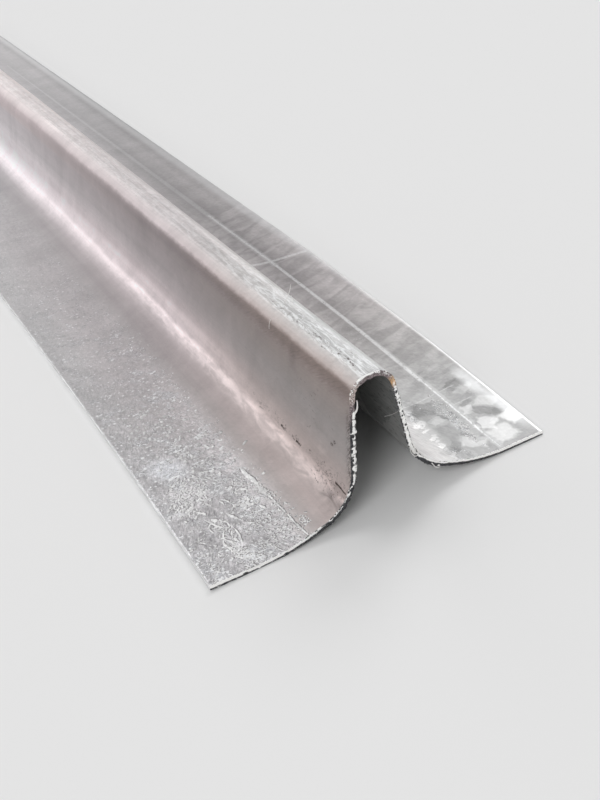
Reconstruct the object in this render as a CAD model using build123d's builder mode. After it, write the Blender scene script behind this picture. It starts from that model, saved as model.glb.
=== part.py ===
# Hat channel: one length of roll-formed galvanised steel strip
from math import cos, radians, sin
import os

from build123d import *

# Overall sizes, millimetres
length = 2440.0
width = 82.0
height = 32.0
sheet = 1.0

# Shape of the section, measured on its upper face
crown_flat = 1.4        # width of the flat strip along the crown
crown_radius = 4.5      # bend on each side of the crown
web_lean = 8.3          # degrees that each web leans out from upright
root_radius = 10.6      # tight part of the bend from web to flange
root_share = 0.74       # share of that bend's turn made by the tight part
ease_radius = 49.0      # gentle part of the bend, running out into the flange

# Turns of the path from the crown outwards, degrees
bend_turn = 90.0 - web_lean
root_turn = bend_turn * root_share
ease_turn = bend_turn - root_turn

# Drop of each arc, and the length of web that makes up the height
lean = radians(web_lean)
ease = radians(ease_turn)
crown_drop = crown_radius * (1 - sin(lean))
root_drop = root_radius * (cos(ease) - sin(lean))
ease_drop = ease_radius * (1 - cos(ease))
web_length = (height - sheet - crown_drop - root_drop - ease_drop) / cos(lean)

# Upper face of one half of the section, from the middle of the crown to the flange's edge
with BuildPart() as hat_channel:
    with BuildSketch(Plane.YZ) as section:
        with BuildLine() as upper_face:
            crown = Line((0, height), (crown_flat / 2, height))
            crown_bend = JernArc(crown @ 1, crown % 1, crown_radius, -bend_turn)
            web = PolarLine(crown_bend @ 1, web_length, direction=crown_bend % 1)
            root_bend = JernArc(web @ 1, web % 1, root_radius, root_turn)
            ease_bend = JernArc(root_bend @ 1, root_bend % 1, ease_radius, ease_turn)
            Line(ease_bend @ 1, (width / 2, sheet))  # flat strip of the flange
            mirror(about=Plane.YZ)
            offset(amount=sheet, side=Side.RIGHT)
        make_face()
    extrude(amount=length / 2, both=True)

hat_channel.part.label = "hat_channel"

os.makedirs("parts", exist_ok=True)
export_step(hat_channel.part, "parts/hat_channel.step")
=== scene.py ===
import math
from types import SimpleNamespace

import bpy
import numpy as np
from mathutils import Matrix, Vector


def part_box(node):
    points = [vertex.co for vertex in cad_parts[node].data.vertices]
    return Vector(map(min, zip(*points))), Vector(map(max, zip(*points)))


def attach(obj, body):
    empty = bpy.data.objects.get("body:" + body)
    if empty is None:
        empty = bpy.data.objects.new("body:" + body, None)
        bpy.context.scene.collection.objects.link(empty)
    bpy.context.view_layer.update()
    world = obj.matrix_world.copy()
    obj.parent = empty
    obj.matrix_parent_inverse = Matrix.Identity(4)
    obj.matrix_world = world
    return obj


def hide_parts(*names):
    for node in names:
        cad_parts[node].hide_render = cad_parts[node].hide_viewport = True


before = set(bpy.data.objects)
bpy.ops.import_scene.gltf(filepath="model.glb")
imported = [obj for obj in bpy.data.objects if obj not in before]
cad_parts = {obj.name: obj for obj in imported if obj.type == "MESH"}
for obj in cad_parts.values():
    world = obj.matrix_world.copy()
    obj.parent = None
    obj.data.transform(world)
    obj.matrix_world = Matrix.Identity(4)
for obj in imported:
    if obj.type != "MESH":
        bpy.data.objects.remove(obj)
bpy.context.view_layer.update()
mm = 0.001
barLow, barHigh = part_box("hat_channel")
endX = barHigh.x / mm          # the cut end that the photo shows, in mm
barLength = (barHigh.x - barLow.x) / mm
barHeight = (barHigh.z - barLow.z) / mm
barHalfWidth = (barHigh.y - barLow.y) / 2 / mm
print("frame loaded: bar", round(barLength), "x", round(2 * barHalfWidth), "x", round(barHeight), "mm")

# Sizes of the sheet in mm and degrees, as in the part's own section
sheetShape = {
    "sheet": 1.0,
    "crownFlat": 0.7,          # half of the flat strip along the crown
    "crownRadius": 4.5,
    "webLean": 8.3,
    "rootRadius": 10.6,
    "rootShare": 0.74,
    "easeRadius": 49.0,
}

# How the section springs open at the cut, as changes on each side of the crown
endSpring = {
    "reach": 131.0,            # mm from the cut over which it dies out
    "left": {"webLean": 1.9, "web": 1.28, "rootRadius": 0.25, "rootShare": 0.031,
             "easeRadius": 4.3, "flat": 0.15, "tipTilt": 2.3},
    "right": {"webLean": -4.2, "web": -1.45, "rootRadius": -0.16, "rootShare": -0.019,
              "easeRadius": -9.2, "flat": -0.2, "tipTilt": -1.56},
}


# Lengths and turns of one half's stretches, from the crown outwards: flat strip, crown bend, web,
# tight bend, gentle bend, flange strip. The web makes up the height, the last strip the width.
def stretchSizes(change):
    shape = sheetShape
    lean = math.radians(shape["webLean"])
    ease = (math.pi / 2 - lean) * (1 - shape["rootShare"])
    crown, root, gentle = shape["crownRadius"], shape["rootRadius"], shape["easeRadius"]
    drop = (shape["sheet"] + crown * (1 - math.sin(lean)) + root * (math.cos(ease) - math.sin(lean))
            + gentle * (1 - math.cos(ease)))
    web = (barHeight - drop) / math.cos(lean)
    reach = (shape["crownFlat"] + crown * math.cos(lean) + web * math.sin(lean)
             + root * (math.cos(lean) - math.sin(ease)) + gentle * math.sin(ease))
    turn = math.pi / 2 - lean - math.radians(change.get("webLean", 0))
    back = turn + math.radians(change.get("tipTilt", 0))
    share = shape["rootShare"] + change.get("rootShare", 0)
    root += change.get("rootRadius", 0)
    gentle += change.get("easeRadius", 0)
    lengths = [shape["crownFlat"], crown * turn, web + change.get("web", 0),
               root * back * share, gentle * back * (1 - share), barHalfWidth - reach + change.get("flat", 0)]
    turns = [0, -turn, 0, back * share, back * (1 - share), 0]
    return lengths, turns


# One half of the upper face: y and z are running sums of each step's chord along its mean heading,
# and a chord is step x sin(half turn) / half turn. Up is the heading turned a quarter left.
def halfSection(change, counts):
    lengths, turns = stretchSizes(change)
    step = np.concatenate([np.full(n, size / n) for size, n in zip(lengths, counts)])
    bend = np.concatenate([np.full(n, turn / n) for turn, n in zip(turns, counts)])
    heading = np.concatenate([[0], np.cumsum(bend)])
    mean = heading[:-1] + bend / 2
    chord = step * np.sinc(bend / (2 * np.pi))
    y = np.concatenate([[0], np.cumsum(chord * np.cos(mean))])
    z = np.concatenate([[0], np.cumsum(chord * np.sin(mean))]) + barHeight
    across = np.concatenate([[0], np.cumsum(step)])
    return np.stack([across, y, z, -np.sin(heading), np.cos(heading)])


# The whole section from the left edge to the right one, even and sprung, as rows
# of: across (mm over the sheet from the crown), y, z, and the upward normal's y and z.
def wholeSection(counts):
    mirror = np.array([-1, -1, 1, -1, 1])[:, None]
    even = halfSection({}, counts)
    left = halfSection(endSpring["left"], counts)
    right = halfSection(endSpring["right"], counts)
    evenRow = np.concatenate([(even * mirror)[:, :0:-1], even], axis=1)
    sprungRow = np.concatenate([(left * mirror)[:, :0:-1], right], axis=1)
    return {"across": evenRow[0], "even": evenRow[1:], "sprung": sprungRow[1:]}


# Waves in radians per mm along and across, and how strong the weakest is beside the strongest
waveShape = {"count": 9, "along": (0.02, 0.16), "across": (-0.12, 0.12), "weakest": 0.4, "seed": 7}


# Slow waves that leave the sheet a little uneven, in mm: a sum of sines over along and across.
def sheetWaves(along, across, size):
    cfg = waveShape
    dice = np.random.default_rng(cfg["seed"])
    total = 0
    for wave in range(cfg["count"]):
        kAlong, kAcross = dice.uniform(*cfg["along"]), dice.uniform(*cfg["across"])
        sway = np.sin(kAlong * along + kAcross * across + dice.uniform(0, 6.28))
        total = total + sway * dice.uniform(cfg["weakest"], 1)
    return size * total / 3


# A point of the sheet: along is mm from the cut (minus is into the bar), depth is mm below the
# upper face, push is mm out past the sheet's edge. Even and sprung sections are mixed by
# weight = (1 + along / reach) squared, nought beyond the reach.
def sheetPoints(section, along, depth, push=0.0):
    weight = np.clip(1 + along / endSpring["reach"], 0, 1) ** 2
    y, z, upY, upZ = section["even"][:, None] * (1 - weight) + section["sprung"][:, None] * weight
    size = np.hypot(upY, upZ)
    upY, upZ = upY / size, upZ / size
    outward = np.sign(section["across"]) * push
    y = y - upY * depth + upZ * outward
    z = z - upZ * depth - upY * outward
    return np.stack([np.broadcast_to(endX + along, y.shape), y, z], axis=-1)


# A mesh from a grid of points (rows x columns x 3, in mm) whose columns close on themselves,
# with flat lids; each corner gets its own place in the map "sheetMap", in mm over the sheet.
# With tube, each run of that many rows is a tube of its own. No point goes below the floor.
def gridMesh(name, points, place, lids, marks=None, tube=None):
    rows, columns = points.shape[:2]
    points[..., 2] = np.maximum(points[..., 2], 0.0)
    index = np.arange(rows * columns).reshape(rows, columns)
    after = np.roll(index, -1, axis=1)
    joined = np.arange(rows - 1)
    joined = joined[(joined + 1) % (tube or rows) != 0]
    quads = np.stack([index[joined], after[joined], after[joined + 1], index[joined + 1]], axis=-1)
    faces = quads.reshape(-1, 4).tolist() + [face for lid in lids for face in lid]
    mesh = bpy.data.meshes.new(name)
    mesh.from_pydata((points.reshape(-1, 3) * mm).tolist(), [], faces)
    loops = np.empty(len(mesh.loops), dtype=np.int32)
    mesh.loops.foreach_get("vertex_index", loops)
    layer = mesh.uv_layers.new(name="sheetMap")
    layer.uv.foreach_set("vector", place.reshape(-1, 2)[loops].astype(np.float32).ravel())
    for label, values in (marks or {}).items():
        data = mesh.attributes.new(label, "FLOAT", "POINT").data
        data.foreach_set("value", values.astype(np.float32).ravel())
    piece = bpy.data.objects.new(name, mesh)
    bpy.context.collection.objects.link(piece)
    mesh.polygons.foreach_set("use_smooth", np.ones(len(mesh.polygons), dtype=bool))
    mesh.set_sharp_from_angle(angle=math.radians(50))
    mesh.update()
    return piece


# Six times the volume inside a mesh, as a sum of a . (b x c) over its triangles.
def signedVolume(mesh):
    mesh.calc_loop_triangles()
    corners = np.empty(len(mesh.loop_triangles) * 3, dtype=np.int32)
    mesh.loop_triangles.foreach_get("vertices", corners)
    spots = np.empty(len(mesh.vertices) * 3)
    mesh.vertices.foreach_get("co", spots)
    a, b, c = spots.reshape(-1, 3)[corners].reshape(-1, 3, 3).transpose(1, 0, 2)
    return float(np.einsum("ij,ij->", a, np.cross(b, c)))


# Every piece gets its finishes and rides on the one body, with its faces turned outwards
def dressPiece(piece, finishes):
    for finish in finishes:
        piece.data.materials.append(finish)
    if signedVolume(piece.data) < 0:
        piece.data.flip_normals()
    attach(piece, "root")


channelSkin = {
    "points": [2, 14, 10, 24, 18, 9],                         # steps in each stretch of a half
    "edgeDepth": [0.03, 0.12, 0.3, 0.5, 0.7, 0.88, 0.97],     # share of the sheet's thickness
    "edgePush": [-0.05, 0.0, 0.0, 0.0, 0.0, 0.0, -0.06],      # the slit edge's worn corners, mm
    "facePush": -0.14,
    "stations": [(0, 40, 0.6), (40, 150, 2.0), (150, 2440, 20.0)],  # from, to, step, mm from the cut
    "waves": 0.035,
}


def makeChannelSkin(finishes):
    cfg = channelSkin
    section = wholeSection(cfg["points"])
    count = len(section["across"])
    along = -np.concatenate([np.arange(a, b, step) for a, b, step in cfg["stations"]] + [[barLength]])
    along = along[:, None]
    sheet = sheetShape["sheet"]
    depths = np.array(cfg["edgeDepth"]) * sheet

    def ringPart(picks, depth, push):
        part = {key: row[..., picks] for key, row in section.items()}
        lift = sheetWaves(along, part["across"], cfg["waves"])
        return sheetPoints(part, along, depth - lift, push)

    everything = np.arange(count)
    pull = np.zeros(count)
    pull[[0, -1]] = cfg["facePush"]
    edge = len(depths)
    rightEdge = np.full(edge, count - 1)
    leftEdge = np.zeros(edge, dtype=int)
    push = np.array(cfg["edgePush"])
    # ring: upper face left to right, right edge downwards, underside right to left, left edge upwards
    upper = ringPart(everything, 0.0, pull)
    right = ringPart(rightEdge, depths, push)
    under = ringPart(everything[::-1], sheet, pull)
    left = ringPart(leftEdge, depths[::-1], push[::-1])
    points = np.concatenate([upper, right, under, left], axis=1)
    across = section["across"]
    spread = np.concatenate([across, across[-1] + depths, across[::-1], across[0] - depths[::-1]])
    place = np.stack(np.broadcast_arrays(along, spread), axis=-1)
    ring = points.shape[1]

    def lid(start, flip):
        i = np.arange(count - 1)
        mate = 2 * count + edge - 1 - i
        quads = np.stack([i, mate, mate - 1, i + 1], axis=-1) + start
        rightFace = [count - 1] + list(range(count + edge, count - 1, -1))
        leftFace = [0] + list(range(ring - 1, ring - edge - 2, -1))
        faces = quads.tolist() + [[start + v for v in rightFace], [start + v for v in leftFace]]
        return [face[::-1] for face in faces] if flip else faces

    lids = [lid(0, False), lid((len(along) - 1) * ring, True)]
    piece = gridMesh("channel_skin", points, place, lids)
    # material 0 on the upper face, 1 on the underside, 2 on the slit edges and ends
    kinds = np.full(ring, 2)
    kinds[:count - 1] = 0
    kinds[count + edge:2 * count + edge - 1] = 1
    kinds = np.concatenate([np.tile(kinds, len(along) - 1), np.full(sum(len(lid) for lid in lids), 2)])
    dressPiece(piece, finishes)
    piece.data.polygons.foreach_set("material_index", kinds.astype(np.int32))
    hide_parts("hat_channel")
    print("channel skin:", len(piece.data.polygons), "faces")


# Smooth random values: seeded numbers at steps of size along one line, joined by a smooth step.
def roughLine(across, size, seed):
    count = 4096
    numbers = np.random.default_rng(seed).uniform(-1, 1, count)
    place = np.asarray(across) / size + count / 2
    cell = np.floor(place).astype(int)
    share = place - cell
    share = share * share * (3 - 2 * share)
    return numbers[cell % count] * (1 - share) + numbers[(cell + 1) % count] * share


# 1 between low and high, with soft ends of that width
def between(value, low, high, soft):
    rise = np.clip((value - low) / soft + 0.5, 0, 1)
    fall = np.clip((high - value) / soft + 0.5, 0, 1)
    return rise * fall


# How the cut face looks at each place across the sheet: where its bright lip sits (share of the
# thickness down from the upper face), how thick it is, how strongly it breaks into teeth, how
# bright, how speckled the rest is, how far the teeth stand out, and how far the burrs of the
# upper and the lower rim overhang the faces, in mm
cutZones = [
    # across, lip at, lip width, teeth, bright, speckle, tooth, upper burr, lower burr
    (-61.3, 0.34, 0.74, 0, 1, 0.5, 0.05, 0.05, 0.12),
    (-50, 0.32, 0.68, 0, 1, 0.5, 0.06, 0.05, 0.14),
    (-42, 0.3, 0.62, 0.04, 1, 0.4, 0.08, 0.05, 0.12),
    (-36.5, 0.22, 0.44, 0.35, 0.9, 0.3, 0.12, 0.07, 0.14),
    (-34.5, 0.1, 0.3, 0.5, 0.8, 0.28, 0.16, 0.09, 0.16),
    (-26, 0.08, 0.2, 0.7, 0.6, 0.26, 0.2, 0.1, 0.2),
    (-24.2, 0.8, 0.6, 0.6, 1, 0.14, 0.26, 0.03, 0.26),
    (-9.9, 0.84, 0.8, 0.62, 1, 0.12, 0.26, 0.02, 0.32),
    (-9, 0.6, 0.3, 0.9, 0.15, 0.3, 0.12, 0.02, 0.1),
    (-6, 0.35, 0.5, 0.7, 0.4, 0.5, 0.12, 0.02, 0.16),
    (-3.4, 0.15, 0.5, 0.6, 0.7, 0.5, 0.12, 0.03, 0.22),
    (-2.6, 0.05, 0.5, 0.15, 1, 0.4, 0.1, 0.06, 0.24),
    (0.8, 0.02, 0.26, 0.4, 0.9, 0.42, 0.12, 0.06, 0.14),
    (2.6, 0.3, 0.4, 0.8, 0.3, 0.5, 0.14, 0.05, 0.12),
    (8, 0.4, 0.7, 0.5, 0.9, 0.5, 0.1, 0.05, 0.05),
    (14, 0.46, 0.86, 0.45, 1, 0.46, 0.12, 0.05, 0.06),
    (20, 0.48, 0.8, 0.45, 1, 0.46, 0.14, 0.06, 0.08),
    (26.6, 0.52, 0.7, 0.4, 1, 0.46, 0.16, 0.1, 0.18),
    (28.6, 0.1, 0.3, 0.4, 0.95, 0.2, 0.12, 0.08, 0.12),
    (36, 0.14, 0.38, 0.25, 1, 0.2, 0.09, 0.06, 0.08),
    (42, 0.22, 0.5, 0.12, 1, 0.24, 0.07, 0.05, 0.07),
    (50, 0.28, 0.62, 0.05, 1, 0.3, 0.06, 0.04, 0.05),
    (61.3, 0.3, 0.68, 0.02, 1, 0.35, 0.05, 0.04, 0.05),
]

# Lumps and pits that stand alone on the near cut: mm across, mm down from the upper face, half
# sizes across and down, and how bright (minus is a dark pit)
cutLumps = [
    (-53.9, 0.12, 0.8, 0.22, 1), (-53.6, 0.55, 0.7, 0.2, -1), (-50.5, 0.75, 0.3, 0.16, 1),
    (-44.2, 0.6, 0.5, 0.2, -0.8), (-26.8, 0.35, 0.6, 0.22, 0.9), (-10.4, 0.8, 0.7, 0.36, 1),
    (-12, 0.78, 0.6, 0.34, 1), (-13.3, 0.75, 0.5, 0.34, 1), (-14.15, 0.35, 0.16, 0.5, 1),
    (-14.9, 0.6, 0.35, 0.3, -0.9), (-16.2, 0.72, 0.4, 0.26, 1), (-17.3, 0.5, 0.26, 0.44, 1),
    (-18.6, 0.2, 0.5, 0.14, 1), (-19.8, 0.55, 0.5, 0.16, -1), (-19.8, 0.85, 0.8, 0.16, 1),
    (-21.5, 0.6, 0.5, 0.45, 1), (-23.6, 0.72, 0.9, 0.24, 0.95), (9.4, 0.45, 0.4, 0.2, -0.9),
    (12.6, 0.4, 0.35, 0.2, -0.9), (14.9, 0.2, 0.3, 0.2, -1), (16, 0.55, 0.3, 0.25, -0.9),
    (18.6, 0.35, 0.3, 0.2, -0.9), (22.4, 0.5, 1.2, 0.35, 1), (25.2, 0.6, 1, 0.34, 1),
    (27, 0.62, 0.5, 0.2, -0.8), (33.4, 0.85, 0.35, 0.2, 1), (-1.6, 0.6, 0.4, 0.2, -0.9),
    (1.2, 0.75, 0.7, 0.18, -0.8), (3.8, 0.3, 0.5, 0.25, 0.5), (5, 0.7, 0.4, 0.2, -0.7),
]

sawnEnd = {
    "pitch": 0.07,             # mm between columns over the sheet
    "rows": 13,                # rows down the torn front
    "toothSize": 0.78,         # mm along the sheet for a tooth and its gap
    "wrap": 0.24,              # how far the torn rim reaches back over the faces, mm
    "stand": 0.03,             # how far the torn face stands out of the bar's end, mm
    "inset": 0.04,             # how far the front's first and last row keep from the faces, mm
    "rust": (6.6, 1.3),        # middle and half width of the rusty spot, mm across
    "farRust": 0.3,            # share of that rust on the far end
    # noises over the sheet, each as its strength and its size in mm
    "toothLean": (0.35, 6.0),
    "fineTooth": (0.5, 0.21),
    "lipEdge": ((0.16, 0.6), (0.10, 0.2)),
    "upperBurr": ((0.6, 0.5), (0.5, 0.16)),
    "lowerBurr": ((0.7, 0.7), (0.5, 0.2)),
    "grain": [(0.65, 0.13, 31.7), (0.35, 0.4, 17.1)],      # and its shift from row to row
    "stands": (0.15, 0.75, 0.25),          # share of a tooth: always, where bright, with the grain
}


# The torn face of a cut: a closed rim round the sheet's end, whose front stands out by
# stand + tooth x brightness + grain, and whose lips stand off the faces by burr x noise
def makeSawnEnd(name, nearEnd, seed, finish):
    cfg = sawnEnd
    sheet = sheetShape["sheet"]
    section = wholeSection([max(2, round(size / cfg["pitch"])) for size in stretchSizes({})[0]])
    across = section["across"]

    # a coarse and a fine noise together
    def noises(coarse, fine, number):
        return (coarse[0] * roughLine(across, coarse[1], seed + number)
                + fine[0] * roughLine(across, fine[1], seed + number + 1))

    table = np.array(cutZones).T
    zones = [np.interp(across, table[0], row) for row in table[1:]]
    lipAt, lipWide, teeth, bright, speckle, tooth, upBurr, lowBurr = zones
    turn = np.arange(cfg["rows"])[:, None]
    share = turn / (cfg["rows"] - 1)   # down the front, upper rim to lower
    lean = cfg["toothLean"][0] * (share - 0.5) * roughLine(across, cfg["toothLean"][1], seed + 8)
    toothNoise = roughLine(across + lean, cfg["toothSize"] * 0.5, seed)
    toothNoise = toothNoise + cfg["fineTooth"][0] * roughLine(across, cfg["fineTooth"][1], seed + 1)
    gap = 1 - teeth * np.clip(0.15 - 2.2 * toothNoise, 0, 1)
    edge = (0.2 + teeth) * noises(*cfg["lipEdge"], 9)
    grain = sum(strength * roughLine(across + shift * turn, size, seed + 2 + k)
                for k, (strength, size, shift) in enumerate(cfg["grain"]))
    inLip = between(share + edge, lipAt - lipWide / 2, lipAt + lipWide / 2, 0.14)
    shine = inLip * gap * bright * (0.86 + 0.28 * grain)
    shine = np.clip(np.maximum(shine, 1.9 * speckle * np.clip(grain - 0.08, 0, 1)), 0, 1)
    for middle, down, half, deep, glow in cutLumps if nearEnd else []:
        lump = np.hypot((across - middle) / half, (share * sheet - down) / deep)
        lump = np.clip(1.6 - 1.3 * lump, 0, 1)
        shine = shine * (1 - lump) + max(glow, 0) * lump * (0.8 + 0.2 * grain)
    always, bold, rough = cfg["stands"]
    front = cfg["stand"] + tooth * (always + bold * shine + rough * grain)
    topLip = upBurr * np.clip(0.5 + noises(*cfg["upperBurr"], 4), 0.05, 2)
    lowLip = lowBurr * np.clip(0.7 + noises(*cfg["lowerBurr"], 6), 0.05, 2)
    flat = np.zeros_like(across)
    back = flat - cfg["wrap"]
    downs = cfg["inset"] + share[:, 0] * (sheet - 2 * cfg["inset"])
    # rows of the rim's outline: along, depth, shine
    rows = [(back, flat + 0.02, 0.8 * shine[0]), (back * 0.5, -0.3 * topLip, shine[0]),
            (flat - 0.04, -topLip, shine[0])]
    rows += [(line, flat + down, glow) for line, down, glow in zip(front, downs, shine)]
    rows += [(flat + 0.02, sheet + lowLip, shine[-1]), (flat - 0.10, sheet + 0.8 * lowLip, 0.8 * shine[-1]),
             (back, flat + sheet - 0.02, flat), (back, flat + sheet * 0.5, flat)]
    alongRows, depthRows, shineRows = [np.array([row[k] for row in rows]) for k in range(3)]
    points = [sheetPoints(section, a[None], d[None])[0] for a, d in zip(alongRows, depthRows)]
    points = np.stack(points, axis=1)
    if not nearEnd:
        points[..., 0] = 2 * endX - barLength - points[..., 0]
    place = np.stack(np.broadcast_arrays(depthRows.T, across[:, None]), axis=-1)
    last = (len(across) - 1) * len(rows)
    lids = [[list(range(len(rows)))[::-1], [last + v for v in range(len(rows))]]]
    middle, reach = cfg["rust"]
    spread = np.clip(1.3 - np.abs(across - middle) / reach, 0, 1)
    rust = spread * np.clip(0.75 + 0.6 * grain.mean(axis=0), 0, 1)
    rust = rust[:, None] * np.ones(len(rows)) * (1 if nearEnd else cfg["farRust"])
    piece = gridMesh(name, points, place, lids, {"shine": shineRows.T, "rust": rust})
    dressPiece(piece, [finish])
    print(name + ":", len(piece.data.polygons), "faces")


# A fine section, to set small pieces on
fineSection = wholeSection([8, 40, 80, 60, 60, 30])

# Slivers of metal that the saw and the rolls left standing, as guide points: mm from the cut,
# mm across the sheet and mm above its face
slivers = {
    "crown_hair": ([(-40.2, 0.9, 0), (-40.6, 1.8, 0.7), (-41.4, 2.4, 1.7), (-43.2, 3, 2.7)], 0.15),
    "crown_hair_root": ([(-38.4, 1.6, 0), (-39.6, 2.4, 0.6), (-41, 2.6, 0.9)], 0.13),
    "crown_curl": ([(-41, -1.1, 0), (-40, -0.3, 0.7), (-38.6, -0.8, 0.8), (-37.6, -0.9, 0)], 0.11),
    "shoulder_hair": ([(-37.8, -4.4, 0), (-37.5, -5.3, 0.35), (-37, -6.4, 0.2)], 0.1),
    "web_hair": ([(-8, 20.4, -1.1), (-6.4, 18.8, -1.9), (-3.4, 17.4, -1.9), (0.1, 14.4, -1)], 0.24),
    "root_curl": ([(0.1, 23.4, -0.1), (0.5, 26.4, 0.1), (0.6, 27.2, -1.5), (0.4, 24.6, -1.4),
        (0.3, 24.4, -0.2)], 0.26),
    "root_drip": ([(0.1, 31.6, -0.5), (0.4, 32.4, -1.2), (0.5, 33.4, -1.6), (0.3, 33.6, -0.8)], 0.24),
    "web_curl": ([(0.1, -9.9, -1.15), (0.25, -9.4, -1.5), (0.3, -8.4, -1.6), (0.2, -7.5, -1.45)], 0.52),
    "root_loop": ([(0.2, 24.4, 0), (0.5, 26.2, 0.6), (0.7, 28.4, -0.6), (0.6, 27, -2),
        (0.4, 24.6, -1.8), (0.2, 23.6, -0.4)], 0.26),
    "web_splinter": ([(0.2, -14.2, -0.5), (0.35, -14.1, 0), (0.3, -14, 0.3)], 0.24),
    "flange_nick": ([(0, -52, -0.2), (0.3, -51.6, 0.15), (0.2, -50.6, 0.1), (0, -50, -0.1)], 0.22),
}

sliverShape = {"rings": 29, "sides": 8, "thinning": 0.6, "mapLength": 4, "mapTurn": 0.05}


# A tube round a Bezier line over the guide points: rings of radius x (cos, sin) square to the
# line, thinning to its tip
def makeSliver(name, path, thick, finish):
    cfg = sliverShape
    guides = []
    for along, across, above in path:
        at = int(np.argmin(np.abs(fineSection["across"] - across)))
        one = {key: row[..., at:at + 1] for key, row in fineSection.items()}
        guides.append(sheetPoints(one, np.array([[along]]), -above)[0, 0])
    share = np.linspace(0, 1, cfg["rings"])[:, None]
    last = len(guides) - 1
    line = sum(math.comb(last, k) * share ** k * (1 - share) ** (last - k) * guide
               for k, guide in enumerate(guides))
    ahead = np.gradient(line, axis=0)
    ahead /= np.linalg.norm(ahead, axis=1)[:, None]
    side = np.cross(ahead, [0.3, 0.2, 0.93])   # any direction that no sliver runs along
    side /= np.linalg.norm(side, axis=1)[:, None]
    over = np.cross(ahead, side)
    turn = np.linspace(0, 2 * np.pi, cfg["sides"] + 1)[:-1]
    radius = thick / 2 * (1 - cfg["thinning"] * share)[..., None]
    spokes = np.cos(turn)[:, None] * side[:, None] + np.sin(turn)[:, None] * over[:, None]
    rings = line[:, None] + radius * spokes
    place = np.stack(np.broadcast_arrays(share * cfg["mapLength"], turn[None] * cfg["mapTurn"]), axis=-1)
    first, end = list(range(cfg["sides"])), (cfg["rings"] - 1) * cfg["sides"]
    piece = gridMesh(name, rings, place, [[first[::-1], [end + v for v in first]]])
    dressPiece(piece, [finish])
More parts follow.
